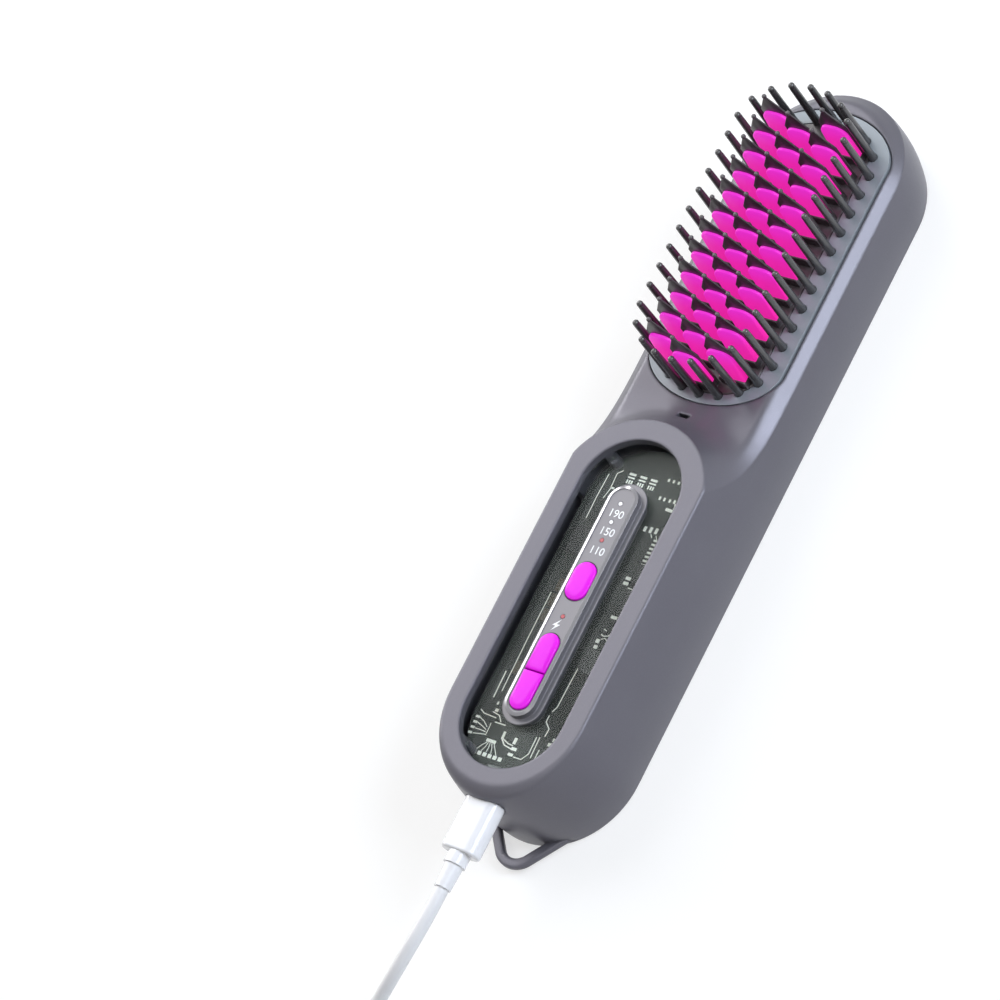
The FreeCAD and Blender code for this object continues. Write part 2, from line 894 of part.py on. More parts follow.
def power_transistors():
    x = board_half_width - transistor_inset
    return [
        on_board(x, share, transistor_width, transistor_length, transistor_height)
        for share in transistor_place_shares
    ]


def inductor():
    x = board_half_width - inductor_inset
    core = on_board(x, inductor_place_share, inductor_width, inductor_width, inductor_height)
    uprights = [e for e in core.Edges if e.BoundBox.ZLength > inductor_height / 2]
    return core.makeFillet(inductor_round, uprights)


def capacitors():
    x = capacitor_inset - board_half_width
    return [
        on_board(x, share, capacitor_width, capacitor_length, capacitor_height)
        for share in capacitor_place_shares
    ]


# Sockets for the wires, under the board
def board_connectors():
    top = board_top - board_thickness
    x = board_half_width - connector_inset
    return [
        centred_block(side * x, board_y, connector_width, connector_length, top - connector_height, top)
        for side in (-1, 1)
    ]


def socket_mouth():
    reach = (usb_z - belly_height) / (handle_height - belly_height)
    return -body_half_straight - body_half_width + (body_half_width - bezel_half_width) * reach ** 2


def usb_receptacle():
    mouth = socket_mouth() + socket_inset
    back = mouth + socket_length
    shell = slot_along_y(socket_half_width, socket_half_height, usb_z, mouth, back)
    room = slot_along_y(
        socket_half_width - socket_wall, socket_half_height - socket_wall, usb_z,
        mouth - cut_overrun, back - tongue_base,
    )
    return shell.cut(room)


def usb_tongue():
    back = socket_mouth() + socket_inset + socket_length - tongue_base
    half = tongue_thickness / 2
    return block(
        -tongue_half_width, tongue_half_width, back - tongue_length, back, usb_z - half, usb_z + half,
    )


def chassis():
    plate = stadium(
        chassis_half_width, board_half_straight, board_y, chassis_low, chassis_low + chassis_thickness,
    )
    posts = [rod(chassis_post_radius, x, y, chassis_low, board_top - board_thickness) for x, y in boss_places]
    cuts = [rod(screw_hole_radius, x, y, chassis_low - cut_overrun, handle_height) for x, y in boss_places]
    cuts.append(centred_block(
        0, lead_window_y, lead_window_width, lead_window_length, chassis_low - cut_overrun, handle_height,
    ))
    return joined([plate] + posts).cut(Part.makeCompound(cuts))


def screws(places, seat, length):
    return [
        joined([
            rod(screw_head_radius, x, y, seat - screw_head_height, seat),
            rod(screw_radius, x, y, seat - screw_head_height / 2, seat + length),
        ])
        for x, y in places
    ]


def board_screws():
    return screws(boss_places, chassis_low, board_top + screw_bite - chassis_low)


def clamp_screws():
    return screws(ear_places, clamp_low, clamp_thickness + clamp_bite)


def battery_cell():
    cell = centred_block(0, board_y, battery_width, battery_length, battery_low, battery_low + battery_height)
    return cell.makeFillet(battery_round, cell.Edges)


def battery_pad(low, high):
    width, length = battery_width - 2 * battery_pad_side, battery_length - 2 * battery_pad_inset
    return centred_block(0, board_y, width, length, low, high)


# Ring of plain bristles: evenly spaced up the sides and round both ends
def ring_places():
    pitch = 2 * ring_half_straight / (ring_side_count - 1)
    places = []
    for side in (-1, 1):
        for row in range(ring_side_count):
            places.append((side * ring_half_width, field_y - ring_half_straight + row * pitch))
    for way in (1, -1):
        centre = Vec(0, field_y + way * ring_half_straight, 0)
        start = 0 if way > 0 else math.pi
        end = Part.ArcOfEllipse(Part.Ellipse(centre, ring_half_width, ring_end_depth), start, start + math.pi)
        for point in end.toShape().discretize(Number=ring_end_count + 2)[1:-1]:
            places.append((point.x, point.y))
    return places


def bristle(x, y):
    tip_z = face_height + bristle_height - bristle_tip_radius
    root = insert_low
    stem = Part.makeCone(bristle_foot_radius, bristle_tip_radius, tip_z - root, Vec(x, y, root))
    tip = Part.makeSphere(bristle_tip_radius, Vec(x, y, tip_z))
    return stem.fuse(tip)


def guard_hole(low):
    return oval(
        guard_half_width + seam_gap, guard_half_straight, guard_end_depth + seam_gap,
        field_y, low - cut_overrun, handle_height,
    )


# Carrier that lies under the insert, with the bristles standing up through it
def bristle_ring():
    flange_low = insert_low - ring_flange_thickness
    wide = ring_half_width + ring_margin + ring_flange
    depth = ring_end_depth + ring_margin + ring_flange
    carrier = oval(wide, ring_half_straight, depth, field_y, flange_low, insert_low)
    return carrier.cut(guard_hole(flange_low)).multiFuse([bristle(x, y) for x, y in ring_places()])


def bristle_holes():
    radius = bristle_foot_radius + bristle_gap
    return [rod(radius, x, y, insert_low - cut_overrun, handle_height) for x, y in ring_places()]


def head_insert():
    plate = oval(insert_half_width, insert_half_straight, insert_end_depth, insert_y, insert_low, face_height)
    return plate.cut(guard_hole(insert_low)).cut(Part.makeCompound(bristle_holes()))


# Three columns of teeth, the middle one half a step ahead
def tooth_places():
    places = []
    for row in range(tooth_rows):
        y = tooth_first_y + row * tooth_pitch
        places.append((0, y))
        places.append((-tooth_column_x, y + tooth_pitch / 2))
        places.append((tooth_column_x, y + tooth_pitch / 2))
    return places


# Rounded heated lobe on the near side of its blade, thinner toward the crest
def fin(x, y):
    back = y - blade_thickness / 2 - fin_gap
    start = back - fin_foot
    crown_z = fin_top - fin_crown
    left, right = Vec(x - fin_half_width, start, crown_z), Vec(x + fin_half_width, start, crown_z)
    curve = Part.Ellipse(Vec(x, start, fin_top), Vec(right.x, start, crown_z), Vec(x, start, crown_z))
    over = Part.Arc(curve, curve.parameter(left), curve.parameter(right)).toShape()
    if over.BoundBox.ZMax < fin_top - fin_crown / 2:
        over = Part.Arc(curve, curve.parameter(right), curve.parameter(left)).toShape()
    root = comb_top - comb_plate_thickness / 2
    low_left, low_right = Vec(left.x, start, root), Vec(right.x, start, root)
    edges = [over, line(left, low_left), line(low_left, low_right), line(low_right, right)]
    lobe = face_of(edges).extrude(Vec(0, fin_foot, 0))
    return lobe.cut(fin_draft(x, start))


# Wedge cut away in front of a lobe
def fin_draft(x, start):
    lean = (fin_foot - fin_crest) / (fin_top - guard_top)
    side = x - fin_half_width - cut_overrun
    high = fin_top + cut_overrun
    low_point, top_front = Vec(side, start, guard_top), Vec(side, start, high)
    top_back = Vec(side, start + lean * (high - guard_top), high)
    edges = [line(low_point, top_back), line(top_back, top_front), line(top_front, low_point)]
    return face_of(edges).extrude(Vec(2 * (fin_half_width + cut_overrun), 0, 0))


def fin_slot(x, y):
    back = y - blade_thickness / 2
    front = back - 2 * fin_gap - fin_foot
    half = fin_half_width + fin_gap
    return block(x - half, x + half, front, back, comb_low, handle_height)


def heating_comb():
    plate = oval(
        guard_half_width - comb_plate_margin, guard_half_straight, guard_end_depth - comb_plate_margin,
        field_y, comb_low, comb_top,
    )
    return plate.multiFuse([fin(x, y) for x, y in tooth_places()])


def blade(x, y):
    start = y - blade_thickness / 2
    tip_z = blade_top - blade_tip_radius
    neck_z = blade_top - blade_neck
    shoulder = face_height + blade_shoulder
    root = guard_top - ring_flange_thickness

    def at(along, z):
        return Vec(x + along, start, z)

    edges = [
        line(at(-blade_half_width, root), at(blade_half_width, root)),
        line(at(blade_half_width, root), at(blade_half_width, shoulder)),
        line(at(blade_half_width, shoulder), at(blade_tip_radius, neck_z)),
        line(at(blade_tip_radius, neck_z), at(blade_tip_radius, tip_z)),
        arc(at(blade_tip_radius, tip_z), at(0, blade_top), at(-blade_tip_radius, tip_z)),
        line(at(-blade_tip_radius, tip_z), at(-blade_tip_radius, neck_z)),
        line(at(-blade_tip_radius, neck_z), at(-blade_half_width, shoulder)),
        line(at(-blade_half_width, shoulder), at(-blade_half_width, root)),
    ]
    return face_of(edges).extrude(Vec(0, blade_thickness, 0))


def tip_guard():
    plate = oval(guard_half_width, guard_half_straight, guard_end_depth, field_y, comb_top, guard_top)
    flange = oval(
        guard_half_width + guard_flange, guard_half_straight, guard_end_depth + guard_flange,
        field_y, comb_top, comb_top + guard_flange_thickness,
    )
    slots = [fin_slot(x, y) for x, y in tooth_places()]
    notches = [
        rod(bristle_foot_radius + seam_gap, x, y, comb_top + guard_flange_thickness, handle_height)
        for x, y in ring_places()
    ]
    plate = joined([plate, flange]).cut(Part.makeCompound(slots)).cut(Part.makeCompound(notches))
    return plate.multiFuse([blade(x, y) for x, y in tooth_places()])


def ceramic_heater():
    return centred_block(0, field_y, heater_width, heater_length, heater_low, comb_low)


def mica_sheet():
    grow = 2 * mica_margin
    return centred_block(0, field_y, heater_width + grow, heater_length + grow, mica_low, heater_low)


def heater_clamp():
    plate = centred_block(0, field_y, 2 * clamp_half_width, clamp_length, clamp_low, mica_low)
    ears = []
    for x, y in ear_places:
        reach = sorted((0, x))
        ears.append(block(reach[0], reach[1], y - clamp_ear_half, y + clamp_ear_half, clamp_low, mica_low))
        ears.append(rod(clamp_ear_half, x, y, clamp_low, mica_low))
    bores = [rod(screw_hole_radius, x, y, clamp_low - cut_overrun, low_room_height) for x, y in ear_places]
    return joined([plate] + ears).cut(Part.makeCompound(bores))


def lying_rod(radius, length, y):
    return Part.makeCylinder(radius, length, Vec(-length / 2, y, clamp_low - radius), Vec(1, 0, 0))


def thermal_fuse():
    return lying_rod(fuse_radius, fuse_length, field_y + fuse_shift)


def thermistor():
    return lying_rod(sensor_radius, sensor_length, field_y + sensor_shift)


def ion_module():
    middle = ion_slot_y - ion_length / 2
    case = centred_block(0, middle, ion_width, ion_length * 2, ion_low, ion_low + ion_height)
    case = case.makeFillet(ion_edge_round, [e for e in case.Edges if e.BoundBox.ZLength > ion_height / 2])
    top = ion_low + ion_height
    socket_top = top + needle_socket_height
    return joined([case, rod(needle_socket_radius, 0, ion_slot_y, top - ion_edge_round, socket_top)])


def ion_needle():
    top = ion_low + ion_height + needle_socket_height
    point = Part.makeCone(needle_radius, needle_radius / 4, needle_radius * 4, Vec(0, ion_slot_y, needle_top))
    return joined([rod(needle_radius, 0, ion_slot_y, top, needle_top), point])


def ion_pad():
    return centred_block(0, ion_slot_y - ion_length / 2, ion_width / 2, ion_length, cover_thickness, ion_low)


# Tube along straight runs joined by arcs as large as the runs allow
def cord_tube(points, label):
    points = [Vec(*p) for p in points]
    edges, radii, at, length = [], [], points[0], 0
    for before, corner, after in zip(points, points[1:], points[2:]):
        arrive, leave = (corner - before).normalize(), (after - corner).normalize()
        half_turn = arrive.getAngle(leave) / 2
        reach = cord_bend_share * min((corner - before).Length, (after - corner).Length)
        radius = reach / math.tan(half_turn)
        inward = (leave - arrive).normalize()
        centre = corner + inward * (radius / math.cos(half_turn))
        start, end = corner - arrive * reach, corner + leave * reach
        edges += [line(at, start), arc(start, centre - inward * radius, end)]
        radii.append(radius)
        at = end
    edges.append(line(at, points[-1]))
    path = Part.Wire(edges)
    section = Part.Wire(Part.Circle(points[0], points[1] - points[0], cord_radius).toShape())
    tube = path.makePipeShell([section], True, False)
    ideal = math.pi * cord_radius ** 2 * path.Length
    print(label, "arc radii", [round(r, 1) for r in radii], "length", round(path.Length, 1))
    print(label, "volume", round(tube.Volume, 1), "section times length", round(ideal, 1))
    return tube


def tie_lift():
    return tie_thickness + tie_gap + cord_radius


# Stations of the coil at every half turn: in on the lower layer, out on the upper one
def coil_stations():
    low = tie_lift()
    radii = [coil_outer - k * coil_step / 2 for k in range(coil_half_turns + 1)]
    back = [radii[-1] + k * coil_step / 2 for k in range(coil_last_half_turns + 1)]
    heights = [low] * len(radii) + [low + coil_layer] * len(back)
    stations = []
    for k, (radius, z) in enumerate(zip(radii + back, heights)):
        side = -1 if k % 2 == 0 else 1
        stations.append((Vec(coil_x0 + side * radius, relief_end() - coil_back, z), Vec(0, side, 0)))
    return stations


def coil_edges():
    stations = coil_stations()
    first, way = stations[0]
    edges = [line(first - way * cord_diameter, first)]
    for (a, heading), (b, unused) in zip(stations, stations[1:]):
        edges.append(arc(a, (a + b) * 0.5 + heading * ((b - a).Length / 2), b))
    last, way = stations[-1]
    edges.append(line(last, last + way * cord_diameter))
    return edges


def coil_gap(edges):
    path = Part.Wire(edges)
    points = path.discretize(Number=least_turns_points)
    step = path.Length / (least_turns_points - 1)
    skip = int(3 * cord_diameter / step) + 1
    least = min(
        (a - b).Length
        for i, a in enumerate(points)
        for b in points[i + skip:]
    )
    return least - cord_diameter


def cable_coil():
    edges = coil_edges()
    print("coil least gap to itself", round(coil_gap(edges), 2))
    path = Part.Wire(edges)
    start, way = coil_stations()[0]
    start = start - way * cord_diameter
    section = Part.Wire(Part.Circle(start, way, cord_radius).toShape())
    coil = path.makePipeShell([section], True, False)
    ideal = math.pi * cord_radius ** 2 * path.Length
    print("coil length", round(path.Length, 1), "volume", round(coil.Volume, 1), "ideal", round(ideal, 1))
    return coil


def plug_front():
    return socket_mouth() - plug_front_gap


def overmould_end():
    return plug_front() - overmould_length


def relief_end():
    return overmould_end() - relief_length


def charging_cable():
    first, way = coil_stations()[0]
    coil_start = first - way * cord_diameter
    corner = coil_start - way * cord_lead_in
    floor_z = tie_lift()
    points = [(0, relief_end(), usb_z)]
    for across, back, share in zip(cord_across, cord_back, cord_height_shares):
        points.append((across, relief_end() - back, floor_z + (usb_z - floor_z) * share))
    return cord_tube(points + [tuple(corner), tuple(coil_start)], "charging_cable")


def tail_end():
    last, way = coil_stations()[-1]
    run = cord_diameter + tail_lead_out + tail_drop_run + tail_end_run
    end = last + way * run
    return Vec(end.x - tail_across, end.y, far_half_height + far_floor_gap)


def cable_tail():
    last, way = coil_stations()[-1]
    start = last + way * cord_diameter
    corner = start + way * tail_lead_out
    end = tail_end()
    drop = end - way * tail_end_run
    return cord_tube([tuple(start), tuple(corner), tuple(drop), tuple(end)], "cable_tail")


def plug_shell():
    front = plug_front() + plug_insert_depth
    shell = slot_along_y(plug_shell_half_width, plug_shell_half_height, usb_z, plug_front(), front)
    room = slot_along_y(
        plug_shell_half_width - plug_shell_wall, plug_shell_half_height - plug_shell_wall, usb_z,
        plug_front(), front + cut_overrun,
    )
    return shell.cut(room)


def plug_overmould():
    body = slot_along_y(overmould_half_width, overmould_half_height, usb_z, overmould_end(), plug_front())
    rims = [e for e in body.Edges if e.BoundBox.YLength < overmould_edge_round]
    return body.makeFillet(overmould_edge_round, rims)


def plug_relief():
    end = overmould_end()
    back = Vec(0, -1, 0)
    collar = Part.makeCylinder(relief_collar_radius, relief_collar_length, Vec(0, end, usb_z), back)
    taper = Part.makeCone(
        relief_collar_radius - cord_radius / 4, relief_end_radius, relief_length - relief_collar_length,
        Vec(0, end - relief_collar_length, usb_z), back,
    )
    return joined([collar, taper])


# Flat band closed round the turns at the far side of the coil
def cable_tie():
    bore = coil_outer - coil_half_turns * coil_step / 2 - cord_radius
    inner = math.sqrt(bore ** 2 - (tie_width / 2) ** 2) - tie_gap
    outer = coil_outer + cord_radius + tie_gap
    low = tie_thickness
    high = tie_lift() + coil_layer + cord_radius + tie_gap
    x0, x1 = coil_x0 - tie_width / 2, coil_x0 + tie_width / 2
    middle = relief_end() - coil_back
    y0, y1 = middle - outer, middle - inner
    wall = tie_thickness
    band = block(x0, x1, y0 - wall, y1 + wall, low - wall, high + wall)
    return band.cut(block(x0 - wall, x1 + wall, y0, y1, low, high))


def usb_a_overmould():
    end = tail_end()
    body = block(
        end.x - far_half_width, end.x + far_half_width, end.y - far_length, end.y,
        end.z - far_half_height, end.z + far_half_height,
    )
    return body.makeFillet(far_edge_round, body.Edges)


def usb_a_shell():
    end = tail_end()
    y1 = end.y - far_length
    y0 = y1 - far_shell_length
    wide, tall, wall = far_shell_half_width, far_shell_half_height, far_shell_wall
    shell = block(end.x - wide, end.x + wide, y0, y1, end.z - tall, end.z + tall)
    wide, tall = wide - wall, tall - wall
    return shell.cut(block(end.x - wide, end.x + wide, y0 - cut_overrun, y1, end.z - tall, end.z + tall))


def usb_a_tongue():
    end = tail_end()
    y1 = end.y - far_length
    wide = far_shell_half_width - far_shell_wall
    top = end.z + far_shell_half_height - far_shell_wall
    y0 = y1 - far_shell_length + far_shell_wall
    return block(end.x - wide, end.x + wide, y0, y1, top - far_tongue_thickness, top)


def lead(points):
    points = [Vec(*p) for p in points]
    runs = [Part.makeCylinder(lead_radius, (b - a).Length, a, b - a) for a, b in zip(points, points[1:])]
    balls = [Part.makeSphere(lead_radius, p) for p in points[1:-1]]
    return joined(runs + balls)


# Two wires from the battery's upper end up to the board's underside
def battery_leads():
    wires = []
    y0 = board_y + battery_length / 2
    y1 = y0 + lead_reach
    z0 = battery_low + battery_height * lead_start_share
    z1 = board_top - board_thickness
    for x in (-lead_spread, lead_spread):
        wires.append(lead([(x, y0, z0), (x, y1, z0), (x, y1, z1)]))
    return wires


# Two wires from the board's upper end, down past the ion box and along to the clamp plate
def heater_leads():
    wires = []
    z_run = ion_low + ion_height + lead_lift
    y_start = board_y + board_half_straight + board_half_width / 2
    y_low = field_y - heater_length / 2 - mica_margin - lead_radius
    y_end = field_y - clamp_length / 2 + lead_reach
    for x in (-heater_lead_x, heater_lead_x):
        points = [
            (x, y_start, board_top - board_thickness),
            (x, y_start, z_run),
            (x, ion_slot_y + ion_length / 2, z_run),
            (x, y_low, clamp_low - lead_radius),
            (x, y_end, clamp_low - lead_radius),
        ]
        wires.append(lead(points))
    return wires


parts = {
    "main_housing": main_housing,
    "rear_cover": rear_cover,
    "hanging_loop": hanging_loop,
    "window_lens": window_lens,
    "control_strip": control_strip,
    "light_guides": light_guides,
    "temp_button": temp_button,
    "temp_plunger": lambda: plunger(switch_places()[0]),
    "power_key_upper": lambda: power_key(1),
    "power_plunger_upper": lambda: plunger(switch_places()[1]),
    "power_key_lower": lambda: power_key(-1),
    "power_plunger_lower": lambda: plunger(switch_places()[2]),
    "head_insert": head_insert,
    "bristle_ring": bristle_ring,
    "tip_guard": tip_guard,
    "heating_comb": heating_comb,
    "ceramic_heater": ceramic_heater,
    "mica_sheet": mica_sheet,
    "heater_clamp": heater_clamp,
    "clamp_screws": clamp_screws,
    "thermal_fuse": thermal_fuse,
    "thermistor": thermistor,
    "ion_module": ion_module,
    "ion_needle": ion_needle,
    "ion_pad": ion_pad,
    "circuit_board": circuit_board,
    "switch_bodies": switch_bodies,
    "status_leds": status_leds,
    "controller_chip": controller_chip,
    "power_transistors": power_transistors,
    "inductor": inductor,
    "capacitors": capacitors,
    "board_connectors": board_connectors,
    "usb_receptacle": usb_receptacle,
    "usb_tongue": usb_tongue,
    "chassis": chassis,
    "board_screws": board_screws,
    "battery_cell": battery_cell,
    "battery_pad_lower": lambda: battery_pad(cover_thickness, battery_low),
    "battery_pad_upper": lambda: battery_pad(battery_low + battery_height, chassis_low),
    "battery_leads": battery_leads,
    "heater_leads": heater_leads,
    "plug_shell": plug_shell,
    "plug_overmould": plug_overmould,
    "plug_relief": plug_relief,
    "charging_cable": charging_cable,
    "cable_coil": cable_coil,
    "cable_tail": cable_tail,
    "cable_tie": cable_tie,
    "usb_a_overmould": usb_a_overmould,
    "usb_a_shell": usb_a_shell,
    "usb_a_tongue": usb_a_tongue,
}

os.makedirs("parts", exist_ok=True)
for name, make in parts.items():
    made = make()
    solids = made if isinstance(made, list) else made.Solids
    shape = solids[0] if len(solids) == 1 else Part.makeCompound(solids)
    good = all(s.isValid() for s in solids)
    print(name, "solids", len(solids), "volume", round(shape.Volume, 1), "valid", good)
    shape.exportStep("parts/" + name + ".step")
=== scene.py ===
import bpy
import bmesh
import math
from mathutils import Matrix, Vector


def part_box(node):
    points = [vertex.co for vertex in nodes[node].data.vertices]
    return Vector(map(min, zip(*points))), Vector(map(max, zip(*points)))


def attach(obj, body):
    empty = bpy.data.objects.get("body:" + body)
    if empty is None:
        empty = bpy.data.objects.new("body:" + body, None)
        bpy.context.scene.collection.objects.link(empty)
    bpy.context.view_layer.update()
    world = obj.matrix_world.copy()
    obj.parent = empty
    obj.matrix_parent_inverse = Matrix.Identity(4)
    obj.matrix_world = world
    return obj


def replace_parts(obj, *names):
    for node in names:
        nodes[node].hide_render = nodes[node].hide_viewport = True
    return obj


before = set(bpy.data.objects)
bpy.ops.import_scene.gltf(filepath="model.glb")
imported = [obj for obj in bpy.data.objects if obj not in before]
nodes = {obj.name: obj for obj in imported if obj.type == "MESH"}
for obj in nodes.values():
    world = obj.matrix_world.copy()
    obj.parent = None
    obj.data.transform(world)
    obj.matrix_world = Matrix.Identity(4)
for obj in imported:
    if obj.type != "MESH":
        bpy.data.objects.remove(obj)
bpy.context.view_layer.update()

mm = 0.001
scene = bpy.context.scene
scene.view_settings.view_transform = "Standard"

shot = {"place": (0.650432, -0.348346, 0.977209), "turn": (30.3786, 24.7509, 29.3338), "lens": 187.54,
        "sensor": 36, "reach": 20}
lens = bpy.data.cameras.new("shot")
lens.lens = shot["lens"]
lens.sensor_width = shot["sensor"]
lens.clip_end = shot["reach"]
camera = bpy.data.objects.new("shot", lens)
camera.location = shot["place"]
camera.rotation_euler = [math.radians(a) for a in shot["turn"]]
scene.collection.objects.link(camera)
scene.camera = camera
print("camera set")


class Wire:  # a shader socket that can stand in a sum
    def __init__(self, tree, socket=None):
        self.tree = tree
        self.socket = socket

    def node(self, kind, settings=None, inputs=None, out=0):
        made = self.tree.nodes.new("ShaderNode" + kind)
        for key, value in (settings or {}).items():
            if key == "stops":
                first, *middle, last = value
                spots = made.color_ramp.elements
                for spot, (place, colour) in ((spots[0], first), (spots[1], last)):
                    spot.position = place
                    spot.color = (*colour, 1)
                for place, colour in middle:
                    spots.new(place).color = (*colour, 1)
            else:
                setattr(made, key, value)
        for key, value in (inputs or {}).items():
            if isinstance(value, Wire):
                self.tree.links.new(value.socket, made.inputs[key])
            else:
                made.inputs[key].default_value = value
        return Wire(self.tree, made.outputs[out])

    def maths(self, operation, first, second):
        return self.node("Math", {"operation": operation}, {0: first, 1: second})

    def __add__(self, other):
        return self.maths("ADD", self, other)

    def __sub__(self, other):
        return self.maths("SUBTRACT", self, other)

    def __rsub__(self, other):
        return self.maths("SUBTRACT", other, self)

    def __mul__(self, other):
        return self.maths("MULTIPLY", self, other)

    __radd__ = __add__
    __rmul__ = __mul__

    def fit(self, low, high, newLow=0.0, newHigh=1.0):  # straight remap with clamped ends
        return self.node("MapRange", {"clamp": True}, {0: self, 1: low, 2: high, 3: newLow, 4: newHigh})

    def blend(self, first, second):  # colour mix with this as the factor
        return self.node("Mix", {"data_type": "RGBA"}, {0: self, 6: first, 7: second}, 2)


def rgb(colour):
    return (*colour, 1)


def startPaint(name):
    paint = bpy.data.materials.new(name)
    paint.use_nodes = True
    paint.node_tree.nodes.clear()
    return paint, Wire(paint.node_tree)


def closePaint(paint, shader):
    end = paint.node_tree.nodes.new("ShaderNodeOutputMaterial")
    paint.node_tree.links.new(shader.socket, end.inputs[0])
    return paint


def grain(w, scale, detail, stretch=None):  # noise on the piece's own place, in metres
    place = w.node("TexCoord", out=3)
    if stretch:
        place = w.node("Mapping", None, {0: place, 3: stretch})
    return w.node("TexNoise", None, {"Vector": place, "Scale": scale, "Detail": detail})


def patches(noise):  # spreads the middle of a noise over the whole range
    return noise.fit(0.3, 0.7)


def lift(w, height, depth, normal):
    return w.node("Bump", None, {"Height": height, "Strength": 1.0, "Distance": depth, "Normal": normal})


def softEdge(w, radius):
    return w.node("Bevel", {"samples": 6}, {"Radius": radius})


def shellFinish(name, s):  # satin metallic lacquer with fine flecks
    paint, w = startPaint(name)
    place = w.node("TexCoord", out=3)
    fleck = w.node("TexVoronoi", None, {"Vector": place, "Scale": s["fleckScale"]}, 1)
    spark = w.node("SeparateColor", None, {0: fleck}).fit(s["rare"], 1.0)
    cloud = patches(grain(w, s["cloud"], 3))
    tone = cloud.blend(rgb(s["deep"]), rgb(s["base"]))
    tone = (spark * s["fleck"]).blend(tone, rgb(s["bright"]))
    rough = s["rough"] + cloud * s["roughCloud"] - spark * s["roughSpark"]
    peel = lift(w, grain(w, s["peelScale"], 1), s["peel"], softEdge(w, s["edge"]))
    return closePaint(paint, w.node("BsdfPrincipled", None, {
        "Base Color": tone, "Metallic": s["metal"], "Roughness": rough, "Normal": peel,
        "Specular IOR Level": s["specular"],
    }))


plainUsual = {
    "cloud": 120, "stretch": None, "grain": 1500, "depth": 0.00002, "edge": 0.00015, "roughCloud": 0.06,
    "metal": 0.0, "specular": 0.5, "coat": 0.0, "coatRough": 0.1, "glow": 0.0,
}


def plainFinish(name, s):  # moulded, sprayed or bare surface with its own grain
    paint, w = startPaint(name)
    s = {**plainUsual, **s}
    cloud = patches(grain(w, s["cloud"], 3, s["stretch"]))
    tone = cloud.blend(rgb(s["deep"]), rgb(s["base"]))
    bump = lift(w, grain(w, s["grain"], 2, s["stretch"]), s["depth"], softEdge(w, s["edge"]))
    inputs = {
        "Base Color": tone, "Roughness": cloud * s["roughCloud"] + s["rough"], "Metallic": s["metal"],
        "Specular IOR Level": s["specular"], "Coat Weight": s["coat"], "Coat Roughness": s["coatRough"],
        "Normal": bump,
    }
    # painted glow: emission in the surface colour, on parts that are no lamp
    if s["glow"]:
        inputs.update({"Emission Color": tone, "Emission Strength": s["glow"]})
    return closePaint(paint, w.node("BsdfPrincipled", None, inputs))


shellPaint = shellFinish("shellPaint", {
    "base": (0.136, 0.132, 0.153), "deep": (0.126, 0.122, 0.143), "bright": (0.25, 0.24, 0.28),
    "fleck": 0.08, "fleckScale": 7000, "rare": 0.72, "cloud": 55, "metal": 0.38, "specular": 0.25,
    "rough": 0.34, "roughCloud": 0.05, "roughSpark": 0.03, "peel": 0.000002, "peelScale": 900,
    "edge": 0.0009,
})
insertGrey = plainFinish("insertGrey", {
    "base": (0.24, 0.268, 0.295), "deep": (0.224, 0.25, 0.278), "rough": 0.42, "metal": 0.2, "coat": 0.1,
})
stripGrey = plainFinish("stripGrey", {
    "base": (0.17, 0.165, 0.18), "deep": (0.16, 0.155, 0.17), "rough": 0.3, "metal": 0.3, "edge": 0.0004,
})
rimGloss = plainFinish("rimGloss", {
    "base": (0.24, 0.235, 0.25), "deep": (0.225, 0.22, 0.235), "rough": 0.2, "metal": 0.5, "depth": 0.000004,
    "coat": 0.6, "coatRough": 0.08,
})
buttonPink = plainFinish("buttonPink", {
    "base": (0.80, 0.013, 0.77), "deep": (0.77, 0.010, 0.74), "rough": 0.17, "specular": 0.22,
    "edge": 0.0002, "depth": 0.000003,
})
bristleDark = plainFinish("bristleDark", {
    "base": (0.050, 0.047, 0.049), "deep": (0.040, 0.038, 0.039), "rough": 0.2, "specular": 0.35,
    "cloud": 300, "depth": 0.000006, "coat": 0.6, "coatRough": 0.12,
})
bladeDark = plainFinish("bladeDark", {
    "base": (0.066, 0.054, 0.060), "deep": (0.05, 0.041, 0.046), "rough": 0.36, "cloud": 300, "coat": 0.2,
})
boardLacquer = plainFinish("boardLacquer", {
    "base": (0.054, 0.062, 0.058), "deep": (0.045, 0.052, 0.048), "rough": 0.5, "cloud": 60,
    "depth": 0.000003, "specular": 0.25,
})
# tinned lands and printed lines with a painted glow: emission brightens them though they are no lamp
padTinPaintedGlow = plainFinish("padTinPaintedGlow", {
    "base": (0.84, 0.85, 0.80), "deep": (0.74, 0.75, 0.70), "rough": 0.4, "cloud": 700, "glow": 0.35,
})
inkWhite = plainFinish("inkWhite", {
    "base": (0.86, 0.87, 0.88), "deep": (0.8, 0.81, 0.82), "rough": 0.45, "cloud": 900,
})
chipBlack = plainFinish("chipBlack", {
    "base": (0.03, 0.031, 0.034), "deep": (0.022, 0.023, 0.025), "rough": 0.5, "cloud": 900,
    "depth": 0.00004,
})
steelBright = plainFinish("steelBright", {
    "base": (0.72, 0.72, 0.74), "deep": (0.6, 0.6, 0.62), "rough": 0.24, "metal": 1.0, "cloud": 900,
    "stretch": (1, 0.05, 1),
})
steelDark = plainFinish("steelDark", {
    "base": (0.16, 0.165, 0.17), "deep": (0.11, 0.115, 0.12), "rough": 0.4, "metal": 0.8, "cloud": 500,
})
plugWhite = plainFinish("plugWhite", {
    "base": (0.83, 0.83, 0.85), "deep": (0.79, 0.79, 0.815), "rough": 0.22, "coat": 0.35,
    "edge": 0.0004, "depth": 0.000006,
})
cordWhite = plainFinish("cordWhite", {
    "base": (0.82, 0.82, 0.83), "deep": (0.77, 0.77, 0.785), "rough": 0.36, "depth": 0.00001, "grain": 2500,
})
cellWrap = plainFinish("cellWrap", {
    "base": (0.09, 0.14, 0.25), "deep": (0.07, 0.11, 0.2), "rough": 0.25, "coat": 0.4, "cloud": 90,
})
